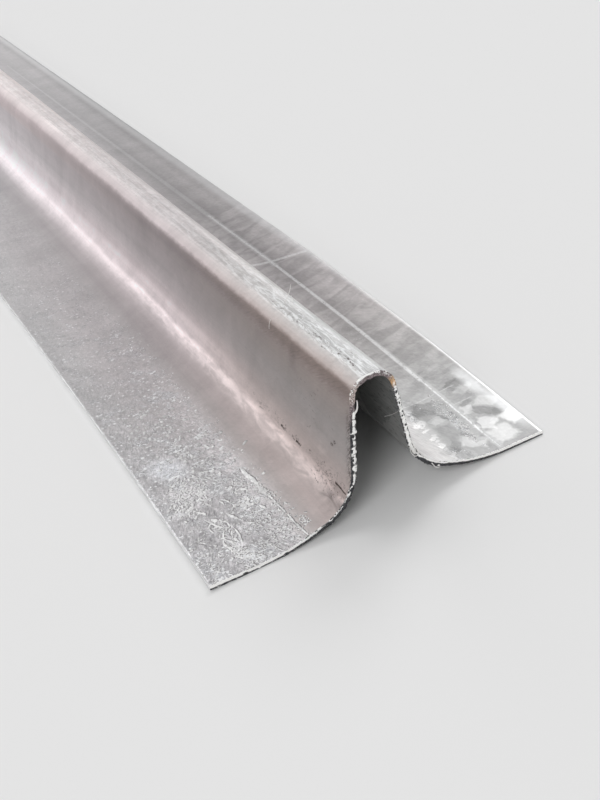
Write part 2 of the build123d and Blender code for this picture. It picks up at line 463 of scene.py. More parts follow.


# Threads and burrs of frost that stand on the sheet: guide points (mm from the cut, mm across),
# width in mm, which side of them their painted shadow lies on, and how white they are
threads = [
    ([(-25.8, -54.9), (-24.4, -54.2), (-22.4, -53)], 0.5, 1, 1),
    ([(-24, -53.6), (-23.1, -53.2), (-22.2, -53.2)], 0.41, 1, 1),
    ([(-21.4, -54.2), (-20, -53.6), (-18.6, -53.2), (-17.4, -52.8), (-16.4, -52),
       (-15.2, -51.8)], 0.5, -1, 1),
    ([(-20.4, -52.9), (-19.6, -52.4), (-18.6, -52.3)], 0.9, 1, 1),
    ([(-17.4, -53.3), (-16.8, -52.5), (-16, -51.9)], 0.43, -1, 1),
    ([(-18.4, -54.2), (-17.2, -54.5), (-16.2, -54.3), (-15.4, -54.2)], 0.41, 1, 0.9),
    ([(-15.2, -51.9), (-14, -52.7), (-12.6, -53.2), (-11.8, -53.2), (-11, -52.5), (-10, -52),
       (-9.2, -52.3), (-8.6, -52.2), (-8, -51.5)], 0.43, 1, 1),
    ([(-12.4, -53.3), (-11.4, -53.8), (-10.2, -53.9), (-9, -53.5), (-8.2, -53.2),
       (-6.8, -53.5)], 0.41, 1, 1),
    ([(-8.8, -52.7), (-8, -51.9), (-7.8, -51.5)], 0.38, -1, 1),
    ([(-19.4, -51.2), (-18.6, -51.5), (-17.8, -50.9), (-17.4, -50.4), (-16.6, -50.3), (-15.4, -50.5),
       (-14.8, -51.2)], 0.43, -1, 1),
    ([(-15.8, -50), (-13.8, -49.9), (-11.8, -49.9), (-9.8, -50.2), (-8, -50.7)], 0.36, 1, 0.95),
    ([(-14.2, -50.5), (-12.6, -51.2), (-11.4, -51.5)], 0.38, -1, 1),
    ([(-12, -50.8), (-10.6, -51.2), (-9.2, -50.9)], 0.36, 1, 1),
    ([(-20.4, -49.4), (-18.6, -48.8), (-17.2, -48.2), (-15.9, -47.7)], 0.66, 1, 1),
    ([(-25.4, -48.8), (-24.2, -48.5), (-23, -48.5)], 0.38, 1, 0.9),
    ([(-25, -47.8), (-24, -47.4), (-23, -47.2)], 0.36, 1, 0.9),
    ([(-14.4, -46.8), (-13.6, -46.5), (-12.6, -45.6)], 0.6, 1, 0.95),
    ([(-17.2, -42.4), (-16, -42), (-14.7, -41.6)], 0.53, 1, 1),
    ([(-23.7, -57.8), (-22.6, -57.6)], 0.72, 1, 1), ([(-23.2, -55.5), (-22.5, -55.5)], 0.66, 1, 1),
    ([(-19.4, -57.7), (-18.8, -57.7)], 0.6, 1, 0.8),
    ([(-14.4, -57.9), (-13.8, -57.3), (-13.1, -56.9)], 0.5, -1, 0.95),
    ([(-11.8, -55.8), (-11.3, -55.5), (-10.8, -55.6)], 0.48, 1, 1),
    ([(-7.6, -55.7), (-7.1, -55.7)], 0.66, -1, 1), ([(-8.5, -55.9), (-7.1, -56.4)], 0.29, 1, 0.9),
    ([(-13.1, -60.2), (-12.6, -60.2)], 0.66, 1, 0.9), ([(-11.9, -57.8), (-11.3, -57.6)], 0.72, 1, 0.9),
    ([(-5.1, -55.9), (-4.7, -55.5)], 0.6, 1, 0.8), ([(-7.7, -44.2), (-7, -44.1)], 0.66, 1, 1),
    ([(-7.4, -42.4), (-6.7, -42.4), (-6.7, -41.9)], 0.6, 1, 1), ([(-5.5, -42.1), (-5, -41.8)], 0.54, 1, 1),
    ([(-6.7, -41), (-6.1, -40.8)], 0.48, 1, 1), ([(-5.1, -40.8), (-4.8, -40.5)], 0.48, 1, 1),
    ([(-4, -48.9), (-3.2, -48.7)], 0.5, -1, 1), ([(-2.8, -49.2), (-2.3, -48.6)], 0.6, -1, 1),
    ([(-1.2, -40.3), (-0.6, -40.1)], 0.5, 1, 1),
    ([(-31.8, -40.45), (-29.2, -40.35), (-25, -40.2)], 0.85, 1, 1),
    ([(-31.3, -40.1), (-27.4, -39.95), (-23.2, -39.7)], 0.9, 1, 1),
    ([(-23.6, -39.9), (-21.2, -39.8), (-19, -39.8)], 0.84, 1, 0.75),
    ([(-18.4, -39.5), (-17.2, -39.3), (-16, -39.2)], 0.46, 1, 1),
    ([(-15.8, -39.8), (-15.1, -40.1), (-14.4, -39.9), (-14.7, -39.4), (-15.6, -39.4)], 0.36, 1, 1),
    ([(-16.2, -39.2), (-12.8, -39.1), (-9.8, -38.9)], 0.34, 1, 0.9),
    ([(-10, -38.9), (-5.8, -38.8), (-2.8, -38.6), (-0.1, -38.3)], 0.41, 1, 1),
    ([(-13, -39.6), (-12, -39.8), (-11.4, -39.4)], 0.34, 1, 1),
    ([(-10.8, -39.6), (-10.2, -39.5)], 0.36, 1, 1), ([(-8.8, -39.4), (-8, -39.4)], 0.29, 1, 0.9),
    ([(-4.8, -46.5), (-4, -45.9), (-3, -45.8)], 0.41, 1, 1),
    ([(-2.8, -45.4), (-1.4, -45.1), (-0.2, -44.5)], 0.36, 1, 0.9),
    ([(-11.4, -45), (-10.2, -44.8)], 0.41, 1, 0.9), ([(-13.2, -44.9), (-12.7, -44.8)], 0.48, 1, 0.9),
    ([(-11.8, -42.3), (-11.1, -42.4)], 0.48, 1, 0.9), ([(-12.7, -42.2), (-12.2, -42.1)], 0.42, 1, 0.9),
    ([(-12, -43.3), (-11.2, -43.1)], 0.38, 1, 0.9),
    ([(-25.4, -43.5), (-24.8, -42.8), (-24.2, -42.2)], 0.9, 1, 1),
    ([(-25.9, -37.3), (-25.2, -36.8)], 0.66, 1, 1),
    ([(-28.2, -45.2), (-27.7, -44.6), (-27.2, -44.9)], 0.78, 1, 1),
    ([(-28.8, -45.8), (-28.2, -45.5)], 0.48, 1, 0.8),
    ([(-20.2, -45.9), (-19.8, -44.9), (-19.6, -43.9)], 0.72, 1, 0.85),
    ([(-21.2, -43.1), (-20.2, -43.9), (-19.4, -44.4)], 0.6, 1, 0.85),
    ([(-19.6, -44.1), (-18.6, -43.3), (-18.4, -42.9)], 0.72, 1, 0.9),
    ([(-20.6, -44.4), (-19.4, -44.1)], 0.6, 1, 0.9), ([(-18.8, -45.3), (-17.8, -45.1)], 0.48, 1, 0.8),
    ([(-20.8, -42.2), (-20, -43.1)], 0.43, 1, 0.8), ([(-46.6, -43.4), (-45.2, -42.9)], 0.6, 1, 0.85),
    ([(-45, -42.1), (-44.2, -41.8)], 0.72, 1, 0.9), ([(-47.1, -41.3), (-46.6, -41.1)], 0.66, 1, 0.75),
    ([(-45.8, -47.4), (-45.2, -47.2)], 0.72, 1, 0.8), ([(-48.2, -38.6), (-47.2, -38.5)], 0.66, 1, 0.5),
    ([(-45.8, -55.5), (-45.2, -55.4)], 0.72, 1, 0.8), ([(-36.8, -45.9), (-36, -45.5)], 0.96, 1, 0.9),
    ([(-38, -47.3), (-37, -46.9), (-36.6, -47.3)], 0.48, 1, 0.7),
    ([(-35.8, -40.5), (-35.2, -40.3)], 0.84, 1, 0.7), ([(-39, -36), (-38.3, -35.8)], 0.96, 1, 0.5),
    ([(-34.6, -49.2), (-33.2, -49)], 0.54, 1, 0.7),
    ([(-35.2, -44.3), (-34, -44.9), (-33, -45.1)], 0.48, 1, 0.8),
]

# Loose threads, scattered round a middle: middle, half sizes, turn in degrees, how many, mean
# length and width, how far they curl in radians, and how white they are
tufts = [
    ((-32.3, -54.4), (5.8, 3.6), -25, 150, 0.9, 0.4, 1.2, 0.95),
    ((-27, -55.5), (2, 3.4), -50, 50, 0.8, 0.38, 1.6, 0.95),
    ((-29.8, -51.2), (4.4, 1.3), -10, 40, 1.1, 0.36, 1.3, 0.95),
    ((-5.3, -52.2), (4.6, 1.6), 5, 90, 1, 0.28, 2.6, 1),
    ((-12.8, -52.2), (4.6, 1.5), 0, 34, 1, 0.26, 2.8, 0.95),
    ((-17.6, -52.2), (3.2, 1.6), 12, 26, 0.9, 0.28, 2.2, 0.9),
    ((-3.8, -46.8), (3.2, 4.2), 20, 60, 0.7, 0.28, 1.8, 0.85),
    ((-11.8, -44), (5.6, 3), 15, 70, 0.6, 0.3, 1.6, 0.85),
    ((-26, -43.2), (4.2, 2.4), 5, 44, 0.9, 0.38, 1.6, 0.85),
    ((-5, -58.2), (4.4, 2.2), -20, 60, 0.7, 0.26, 1.6, 0.8),
    ((-16, -58), (7, 2.2), -20, 30, 0.7, 0.28, 1, 0.75),
    ((-36.8, -47.8), (3.2, 4.6), 60, 50, 1, 0.44, 1.4, 0.65),
    ((-20.2, -44.4), (2.6, 2.2), 60, 60, 0.7, 0.38, 1.6, 0.9),
    ((-21.4, -39.8), (2.4, 0.5), 4, 30, 0.9, 0.42, 0.8, 0.8),
    ((-27.6, -40.1), (3, 0.15), 3, 22, 1.4, 0.4, 0.3, 1),
    ((-5, -42), (3, 2), 0, 26, 0.6, 0.34, 1.6, 0.95),
    ((-47, -46), (5.6, 5), 0, 34, 0.9, 0.54, 0.8, 0.6),
    ((-13.8, -38.2), (8, 1), 10, 36, 0.8, 0.26, 1.8, 0.85),
    ((-5.3, -37.1), (1.8, 0.7), 15, 20, 0.9, 0.26, 2.2, 0.8),
    ((-63, -50), (12, 7), 10, 70, 1.3, 0.6, 1, 0.5),
    ((-8, -39), (7.6, 0.5), 3, 50, 0.5, 0.3, 1.2, 1),
    ((-13, -48.2), (8, 5), 10, 80, 0.5, 0.26, 1.4, 0.75),
    ((-15, 47.7), (8, 1), 0, 80, 0.7, 0.34, 2.6, 1),
    ((-2.9, 39.7), (0.5, 0.5), 30, 6, 0.9, 0.4, 2.6, 1),
    ((-22, 48.5), (5, 0.8), 0, 20, 0.9, 0.28, 1.6, 0.95),
    ((-7, 47), (1.6, 0.7), 10, 12, 0.9, 0.26, 2.6, 0.9),
]

threadShape = {
    "rows": {"drawn": 18, "loose": 9},     # steps along a thread
    # round a thread: half widths out, extra mm out, share of its height, extra mm up, shine (0 is the
    # painted shadow beside it)
    "outline": [(-1.0, 0.0, 0.0, -0.03, 0.8), (-0.5, 0.0, 0.7, 0.0, 1.0), (0.2, 0.0, 1.0, 0.0, 1.0),
                (0.85, 0.0, 0.35, 0.0, 0.95), (1.0, 0.03, 0.0, 0.016, 0.0), (1.0, 0.24, 0.0, 0.012, 0.0),
                (1.0, 0.32, 0.0, -0.03, 0.0), (0.9, 0.0, 0.0, -0.1, 0.0), (-0.6, 0.0, 0.0, -0.1, 0.0)],
    "height": 0.32,            # a thread's height as a share of its width
    "highest": 0.16,           # and its greatest height, mm
    "wiggle": 0.05,            # how far its line wanders, mm
    "ends": (0.4, 0.12),       # how blunt its ends are, and how wide at least
    "uneven": 0.55,            # how much its width varies
    "dull": 0.35,              # shine of a thread that isn't white at all
    "worn": (0.85, 0.3),       # its least shine, and how much that varies
    "rightExtra": 0.25,        # share of the outline's extra mm out on the right flange
    "edge": 61.1,              # how far out across the sheet a thread may lie, mm
    "smoothing": 3,            # how often a drawn thread's corners are rounded
    # loose threads: how they scatter round their tuft's middle, in its half sizes, and how far at
    # most; how their turn scatters, in radians; and the range of their lengths, widths and shine
    "scatter": 0.6, "furthest": 1.3, "turnScatter": 0.45,
    "lengths": (0.4, 1.6), "widths": (0.6, 1.4), "glows": (0.7, 1.1),
    "seed": 23,
}


# The middle lines of the drawn threads run through their guide points with rounded corners
def drawnLines(rows):
    share = np.linspace(0, 1, rows)
    lines, widths, glows = [], [], []
    for guide, width, side, glow in threads:
        guide = np.array(guide[::side])
        gone = np.concatenate([[0], np.cumsum(np.linalg.norm(np.diff(guide, axis=0), axis=1))])
        line = np.stack([np.interp(share * gone[-1], gone, row) for row in guide.T], axis=1)
        for smoothing in range(threadShape["smoothing"]):
            line[1:-1] = (line[:-2] + 2 * line[1:-1] + line[2:]) / 4
        lines.append(line)
        widths.append(width)
        glows.append(glow)
    return np.array(lines), np.array(widths), np.array(glows)


# The loose threads are arcs, heading = turn + curl x share, thrown round their tuft's middle
def looseLines(rows):
    cfg = threadShape
    dice = np.random.default_rng(cfg["seed"])
    share = np.linspace(0, 1, rows)
    lines, widths, glows = [], [], []
    for middle, reach, turn, count, length, width, curl, glow in tufts:
        spin = math.radians(turn)
        spot = np.clip(dice.normal(0, cfg["scatter"], (count, 2)), -cfg["furthest"], cfg["furthest"]) * reach
        spot = spot @ [[math.cos(spin), math.sin(spin)], [-math.sin(spin), math.cos(spin)]] + middle
        heading = spin + dice.normal(0, cfg["turnScatter"], (count, 1))
        heading = heading + math.pi * dice.integers(0, 2, (count, 1))
        angle = heading + dice.uniform(-curl, curl, (count, 1)) * share
        step = dice.uniform(*cfg["lengths"], (count, 1)) * length / rows
        line = np.cumsum(np.stack([np.cos(angle) * step, np.sin(angle) * step], axis=-1), axis=1)
        lines.append(line - line.mean(axis=1, keepdims=True) + spot[:, None])
        widths.append(dice.uniform(*cfg["widths"], count) * width)
        glows.append(dice.uniform(*cfg["glows"], count) * glow)
    return np.concatenate(lines), np.concatenate(widths), np.clip(np.concatenate(glows), 0, 1)


# Each thread is a low ridge of finite length with a painted shadow beside it, narrow on the right flange
def makeThreads(name, lines, widths, glows, finish):
    cfg = threadShape
    count, rows = lines.shape[:2]
    share = np.linspace(0, 1, rows)
    number = np.arange(count)[:, None]
    wiggle = [roughLine(share * 5 + 17.3 * number + shift, 1.0, 6) for shift in (0.0, 900.5)]
    lines = lines + cfg["wiggle"] * np.stack(wiggle, axis=-1)
    ahead = np.gradient(lines, axis=1)
    ahead /= np.linalg.norm(ahead, axis=2)[..., None]
    bluntness, least = cfg["ends"]
    taper = np.maximum(np.sin(np.pi * share) ** bluntness, least)
    rough = 1 + cfg["uneven"] * roughLine(share * 9 + 31.3 * number, 1.0, 5)
    half = (widths[:, None] * taper * rough / 2)[..., None]
    out, extra, high, lift, shine = np.array(cfg["outline"]).T
    reach = out * half + extra * taper[:, None] * np.where(lines[..., 1:] > 0, cfg["rightExtra"], 1.0)
    along = np.minimum(lines[..., 0, None] - ahead[..., 1, None] * reach, 0.0)
    across = np.clip(lines[..., 1, None] + ahead[..., 0, None] * reach, -cfg["edge"], cfg["edge"])
    height = np.minimum(2 * half * cfg["height"], cfg["highest"]) * high + lift - 0.04 * (1 - taper[:, None])
    part = {"across": across.ravel()}
    for kind in ("even", "sprung"):
        part[kind] = np.stack([np.interp(part["across"], fineSection["across"], row)
                               for row in fineSection[kind]])
    waves = sheetWaves(along, across, channelSkin["waves"])
    points = sheetPoints(part, along.reshape(1, -1), -(height + waves).reshape(1, -1))
    points = points.reshape(count * rows, len(out), 3)
    place = np.stack([along, across], axis=-1).reshape(count * rows, len(out), 2)
    glow = glows[:, None, None]
    worn = cfg["worn"][0] + cfg["worn"][1] * roughLine(share * 11 + 13.7 * number, 1.0, 8)[..., None]
    marks = {"shine": (glow * shine + (1 - glow) * cfg["dull"]) * worn}
    ring = np.arange(len(out))
    firsts = number * rows * len(out)
    lids = [(firsts + ring[::-1]).tolist(), (firsts + (rows - 1) * len(out) + ring).tolist()]
    piece = gridMesh(name, points, place, lids, marks, rows)
    dressPiece(piece, [finish])
    print(name + ":", count, "threads,", len(piece.data.polygons), "faces")


# Small helpers for node trees: every value that goes in is a number, a colour or another socket
def feed(tree, socket, value):
    if isinstance(value, bpy.types.NodeSocket):
        tree.links.new(value, socket)
    else:
        socket.default_value = value


def addNode(tree, kind, values=None, **settings):
    node = tree.nodes.new(kind)
    for name, value in settings.items():
        setattr(node, name, value)
    for socket, value in (values or {}).items():
        feed(tree, node.inputs[socket], value)
    return node


def calc(tree, operation, a, b=0.0, c=0.0):
    return addNode(tree, "ShaderNodeMath", {0: a, 1: b, 2: c}, operation=operation).outputs[0]


def vectorCalc(tree, operation, values):
    node = addNode(tree, "ShaderNodeVectorMath", values, operation=operation)
    return node.outputs["Value" if operation in ("DOT_PRODUCT", "DISTANCE") else "Vector"]


def times(tree, *values):
    total = values[0]
    for value in values[1:]:
        total = calc(tree, "MULTIPLY", total, value)
    return total


# value x factor + base
def scaled(tree, value, factor, base):
    return calc(tree, "MULTIPLY_ADD", value, factor, base)


# base + amount x (value - 0.5), for noises that swing round a half
def swing(tree, value, amount, base=1.0):
    return scaled(tree, calc(tree, "SUBTRACT", value, 0.5), amount, base)


def clamped(tree, value):
    return addNode(tree, "ShaderNodeClamp", {0: value}).outputs[0]


def fade(tree, value, low, high, toLow=0.0, toHigh=1.0):
    values = {"Value": value, "From Min": low, "From Max": high, "To Min": toLow, "To Max": toHigh}
    return addNode(tree, "ShaderNodeMapRange", values, interpolation_type="SMOOTHSTEP").outputs[0]


# Noise over the sheet whose blots measure size[0] x size[1] mm, the first along a line that
# turns that many degrees from the bar's length towards across
def noise(tree, vector, size, turn=0.0, detail=3.0, rough=0.5, twist=0.0, shift=(0.0, 0.0)):
    place = addNode(tree, "ShaderNodeMapping", {
        "Vector": vector, "Location": (*shift, 0), "Rotation": (0, 0, math.radians(turn)),
        "Scale": (*size, 1)}, vector_type="TEXTURE").outputs[0]
    values = {"Vector": place, "Scale": 1.0, "Detail": detail, "Roughness": rough, "Distortion": twist}
    return addNode(tree, "ShaderNodeTexNoise", values, noise_dimensions="2D").outputs["Fac"]


# Noise in three channels, to push places about with
def drift(tree, vector, scale, detail):
    values = {"Vector": vector, "Scale": scale, "Detail": detail}
    return addNode(tree, "ShaderNodeTexNoise", values, noise_dimensions="2D").outputs["Color"]


def cells(tree, vector, scale):
    values = {"Vector": vector, "Scale": scale}
    return addNode(tree, "ShaderNodeTexVoronoi", values, voronoi_dimensions="2D").outputs


def firstChannel(tree, colour):
    return addNode(tree, "ShaderNodeSeparateColor", {0: colour}).outputs[0]


# How far a place lies along the two axes of a turned oval or plate, as shares of its half sizes
def ownAxes(tree, vector, middle, size, turn):
    cosine, sine = math.cos(math.radians(turn)), math.sin(math.radians(turn))
    shares = []
    for a, b in ((cosine / size[0], sine / size[0]), (-sine / size[1], cosine / size[1])):
        cast = vectorCalc(tree, "DOT_PRODUCT", {0: vector, 1: (a, b, 0)})
        shares.append(calc(tree, "SUBTRACT", cast, a * middle[0] + b * middle[1]))
    return shares


# A soft oval patch on the sheet: 1 in its middle, 0 from its rim outwards
def patch(tree, vector, middle, size, turn=0.0):
    a, b = ownAxes(tree, vector, middle, size, turn)
    reach = calc(tree, "SQRT", scaled(tree, a, a, times(tree, b, b)))
    return fade(tree, reach, 0.15, 1.0, 1.0, 0.0)


# A plate with four straight sides: 1 inside, 0 from its sides outwards
def plate(tree, vector, middle, size, turn):
    a, b = ownAxes(tree, vector, middle, size, turn)
    reach = calc(tree, "MAXIMUM", calc(tree, "ABSOLUTE", a), calc(tree, "ABSOLUTE", b))
    return fade(tree, reach, 0.72, 1.10, 1.0, 0.0)


# All patches or plates of a table, each times its amount, added up to total
def addUp(tree, shape, vector, table, total=0.0):
    for middle, size, turn, amount in table:
        total = scaled(tree, shape(tree, vector, middle, size, turn), amount, total)
    return total


# 1 where a value passes one level, 0 from wide away from it
def ridge(tree, value, level, wide):
    away = calc(tree, "ABSOLUTE", calc(tree, "SUBTRACT", value, level))
    return fade(tree, away, wide * 0.2, wide, 1.0, 0.0)


def mixNumber(tree, share, a, b):
    return addNode(tree, "ShaderNodeMix", {0: share, 2: a, 3: b}, data_type="FLOAT").outputs[0]


def blend(tree, share, a, b):
    return addNode(tree, "ShaderNodeMix", {0: share, 6: a, 7: b}, data_type="RGBA").outputs[2]


def tinted(tree, colour, tint):
    values = {0: 1.0, 6: colour, 7: tint}
    return addNode(tree, "ShaderNodeMix", values, data_type="RGBA", blend_type="MULTIPLY").outputs[2]


def shade(tree, colour, tone):
    grey = addNode(tree, "ShaderNodeCombineColor", {0: tone, 1: tone, 2: tone}).outputs[0]
    return tinted(tree, colour, grey)


# A group whose inputs are numbers with a start value, or vectors where that is None, and whose
# outputs are numbers
def newGroup(name, inputs, outputs):
    tree = bpy.data.node_groups.new(name, "ShaderNodeTree")
    for label, start in inputs.items():
        kind = "NodeSocketVector" if start is None else "NodeSocketFloat"
        socket = tree.interface.new_socket(label, in_out="INPUT", socket_type=kind)
        if start is not None:
            socket.default_value = start
    for label in outputs:
        tree.interface.new_socket(label, in_out="OUTPUT", socket_type="NodeSocketFloat")
    return tree, tree.nodes.new("NodeGroupInput").outputs, tree.nodes.new("NodeGroupOutput").inputs


def useGroup(tree, group, values):
    node = tree.nodes.new("ShaderNodeGroup")
    node.node_tree = group
    for label, value in values.items():
        feed(tree, node.inputs[label], value)
    return node.outputs


# 1 where Value lies between Low and High, with soft ends
def windowGroup():
    tree, given, out = newGroup("window", {"Value": 0.0, "Low": 0.0, "High": 1.0, "Soft": 1.0}, ["Mask"])
    rise = fade(tree, given["Value"], given["Low"], calc(tree, "ADD", given["Low"], given["Soft"]))
    start = calc(tree, "SUBTRACT", given["High"], given["Soft"])
    fall = fade(tree, given["Value"], start, given["High"], 1.0, 0.0)
    feed(tree, out["Mask"], calc(tree, "MULTIPLY", rise, fall))
    return tree


# Noises of the groups: size of a blot along and across in mm, turn in degrees, detail,
# roughness, twist, shift
groupNoises = {
    "cloud": ((24, 11), 55, 4.0, 0.6, 0.5),
    "fine": ((1.3, 1.0), 40, 4.0, 0.6, 0.6, (5.0, 3.0)),
    "thinStreak": ((34, 0.5), 0, 2.0, 0.6, 0.0, (9.0, 4.0)),
    "wideStreak": ((120, 2.6), 0, 2.0, 0.5, 0.0, (40.0, 17.0)),
    "chatter": ((4.2, 11), 20, 2.0, 0.5, 0.6, (2.0, 31.0)),
    "frostClump": ((8.0, 5.0), 50, 3.0, 0.6, 0.8, (23.0, 8.0)),
    "frostKnots": ((2.5, 1.9), 63, 3.0, 0.55, 1.9, (17.0, 4.0)),
    "frostGate": ((2.8, 1.9), 40, 3.0, 0.6, 0.4, (7.0, 19.0)),
    "frostFlecks": ((1.15, 0.8), 58, 4.0, 0.6, 1.3),
    "frostGrain": ((0.55, 0.45), 30, 4.0, 0.7, 0.3, (2.0, 5.0)),
    "pitKnots": ((1.8, 0.55), -18, 3.0, 0.6, 0.9, (13.0, 29.0)),
    "pitBreaks": ((1.6, 0.9), -18, 2.0, 0.6, 0.0, (3.0, 2.0)),
    "scratchBreaks": ((0.9, 0.5), 20, 3.0, 0.7, 0.5),
}


def groupNoise(tree, given, name):
    return noise(tree, given["Vector"], *groupNoises[name])


# The sheet's slow clouds, its fine mottle, the streaks drawn along it by the rolls, and the
# narrow bands across it that the rolls' chatter left, each from 0 to 1
def weatherGroup():
    tree, given, out = newGroup("weather", {"Vector": None}, ["Cloud", "Fine", "Streak", "Chatter"])
    feed(tree, out["Cloud"], groupNoise(tree, given, "cloud"))
    feed(tree, out["Fine"], groupNoise(tree, given, "fine"))
    thin, wide = groupNoise(tree, given, "thinStreak"), groupNoise(tree, given, "wideStreak")
    feed(tree, out["Streak"], scaled(tree, thin, 0.5, times(tree, wide, 0.5)))
    feed(tree, out["Chatter"], fade(tree, groupNoise(tree, given, "chatter"), 0.32, 0.68))
    return tree


# Zinc crystals: cells of one size, each with its own tone
def spangleGroup():
    tree, given, out = newGroup("spangle", {"Vector": None, "Cell": 10.0}, ["Tone"])
    wobble = drift(tree, given["Vector"], 0.3, 2.0)
    bent = vectorCalc(tree, "MULTIPLY_ADD", {0: wobble, 1: (2.0, 2.0, 0), 2: given["Vector"]})
    crystal = cells(tree, bent, calc(tree, "DIVIDE", 1.0, given["Cell"]))
    feed(tree, out["Tone"], firstChannel(tree, crystal["Color"]))
    return tree


# Levels in the frost's noises: fades from low to high, or a level and the width round it
frostShape = {
    "clump": (0.38, 0.62),
    "amount": (0.8, 0.35),                 # more of it in clumps, and the share outside them
    "gate": (0.58, 0.68),
    "gateCover": 0.26,                     # how much the cover lowers the gate
    "thread": (0.50, 0.026),
    "grooveShadow": (0.455, 0.030),
    "fleck": (0.665, 0.715),
    "fleckCover": 0.17,                    # how much the cover lowers the flecks' level
    "fleckRim": (0.635, 0.035),
    "dots": 0.62,                          # cells per mm, each with one dot
    "dotCover": 0.35,                      # how much the cover adds to a dot's size
    "dotSize": (0.8, -0.62),
    "dotEdge": 0.05,
    "dotWhite": 0.8,
    "present": 0.12,                       # cover from which the frost shows fully
    "thinHaze": 0.3,                       # share of the haze outside the gate
}


# White frost on the zinc: ragged flecks, curled threads and lone dots, all in clumps, and the
# painted shadow lines beside the threads and round the flecks. Cover is how much of it there is.
# Haze is the pale bloom round it and Grain the mottle under it.
def frostGroup():
    tree, given, out = newGroup(
        "frost", {"Vector": None, "Cover": 0.5}, ["Mask", "Shadow", "Haze", "Grain"])
    cfg, cover = frostShape, given["Cover"]
    clump = fade(tree, groupNoise(tree, given, "frostClump"), *cfg["clump"])
    amount = times(tree, cover, scaled(tree, clump, *cfg["amount"]))
    knots = groupNoise(tree, given, "frostKnots")
    gate = scaled(tree, amount, cfg["gateCover"], groupNoise(tree, given, "frostGate"))
    gate = fade(tree, gate, *cfg["gate"])
    thread = times(tree, gate, ridge(tree, knots, *cfg["thread"]))
    grooveShadow = times(tree, gate, ridge(tree, knots, *cfg["grooveShadow"]))
    level = scaled(tree, amount, cfg["fleckCover"], groupNoise(tree, given, "frostFlecks"))
    flecks = fade(tree, level, *cfg["fleck"])
    rim = ridge(tree, level, *cfg["fleckRim"])
    spots = cells(tree, given["Vector"], cfg["dots"])
    size = calc(tree, "ADD", firstChannel(tree, spots["Color"]), times(tree, amount, cfg["dotCover"]))
    beyond = calc(tree, "SUBTRACT", spots["Distance"], scaled(tree, size, *cfg["dotSize"]))
    dots = times(tree, fade(tree, beyond, -cfg["dotEdge"], cfg["dotEdge"], 1.0, 0.0), cfg["dotWhite"])
    mask = calc(tree, "MAXIMUM", calc(tree, "MAXIMUM", thread, flecks), dots)
    present = fade(tree, cover, 0.0, cfg["present"])
    feed(tree, out["Mask"], times(tree, mask, present))
    feed(tree, out["Shadow"], times(tree, calc(tree, "MAXIMUM", grooveShadow, times(tree, rim, clump)), present))
    feed(tree, out["Haze"], times(tree, amount, fade(tree, gate, 0.0, 1.0, cfg["thinHaze"], 1.0)))
    feed(tree, out["Grain"], groupNoise(tree, given, "frostGrain"))
    return tree


# Dark pits and shreds: short crooked strokes along the bar, cut out of noise
def pitGroup():
    tree, given, out = newGroup("pits", {"Vector": None, "Cover": 0.5}, ["Mask"])
    away = calc(tree, "ABSOLUTE", calc(tree, "SUBTRACT", groupNoise(tree, given, "pitKnots"), 0.52))
    line = fade(tree, away, 0.008, 0.035, 1.0, 0.0)
    broken = scaled(tree, given["Cover"], 0.3, groupNoise(tree, given, "pitBreaks"))
    gate = fade(tree, broken, 0.68, 0.76)
    feed(tree, out["Mask"], times(tree, line, gate, fade(tree, given["Cover"], 0.02, 0.15)))
    return tree


# A straight scratch between two points of the sheet: 1 on the line between them, 0 from half
# of Width away from it, and thinner towards its second end by Taper
def scratchGroup():
    tree, given, out = newGroup(
        "scratch", {"Vector": None, "From": None, "To": None, "Width": 0.3, "Taper": 0.0, "Wobble": 0.5},
        ["Mask"])
    push = vectorCalc(tree, "SUBTRACT", {0: drift(tree, given["Vector"], 0.7, 3.0), 1: (0.5, 0.5, 0.5)})
    push = vectorCalc(tree, "SCALE", {0: push, "Scale": given["Wobble"]})
    place = vectorCalc(tree, "ADD", {0: push, 1: given["Vector"]})
    line = vectorCalc(tree, "SUBTRACT", {0: given["To"], 1: given["From"]})
    arm = vectorCalc(tree, "SUBTRACT", {0: place, 1: given["From"]})
    size = vectorCalc(tree, "DOT_PRODUCT", {0: line, 1: line})
    cast = vectorCalc(tree, "DOT_PRODUCT", {0: arm, 1: line})
    share = clamped(tree, calc(tree, "DIVIDE", cast, size))
    foot = vectorCalc(tree, "SCALE", {0: line, "Scale": share})
    gap = vectorCalc(tree, "DISTANCE", {0: arm, 1: foot})
    wide = times(tree, given["Width"], calc(tree, "SUBTRACT", 1.0, times(tree, share, given["Taper"])))
    mask = fade(tree, calc(tree, "DIVIDE", gap, wide), 0.2, 0.55, 1.0, 0.0)
    broken = groupNoise(tree, given, "scratchBreaks")
    broken = calc(tree, "SUBTRACT", broken, times(tree, given["Wobble"], 0.15))
    feed(tree, out["Mask"], times(tree, mask, fade(tree, broken, 0.28, 0.46, 0.15, 1.0)))
    return tree


window, weather, spangle = windowGroup(), weatherGroup(), spangleGroup()
frost, pits, scratch = frostGroup(), pitGroup(), scratchGroup()
print("shader groups ready")


def zone(tree, value, low, high, soft):
    return useGroup(tree, window, {"Value": value, "Low": low, "High": high, "Soft": soft})["Mask"]


def newMaterial(name):
    material = bpy.data.materials.new(name)
    material.use_nodes = True
    tree = material.node_tree
    tree.nodes.clear()
    surface = tree.nodes.new("ShaderNodeBsdfPrincipled")
    output = tree.nodes.new("ShaderNodeOutputMaterial")
    tree.links.new(surface.outputs[0], output.inputs[0])
    return material, tree, surface.inputs


def addBump(tree, surface, strength, distance, height):
    bump = addNode(tree, "ShaderNodeBump", {"Strength": strength, "Distance": distance, "Height": height})
    feed(tree, surface["Normal"], bump.outputs[0])


def sheetPlace(tree):
    return addNode(tree, "ShaderNodeUVMap", uv_map="sheetMap").outputs[0]


# The two coordinates of a place on the sheet: mm from the cut, mm across
def alongAcross(tree, place):
    return addNode(tree, "ShaderNodeSeparateXYZ", {0: place}).outputs[:2]
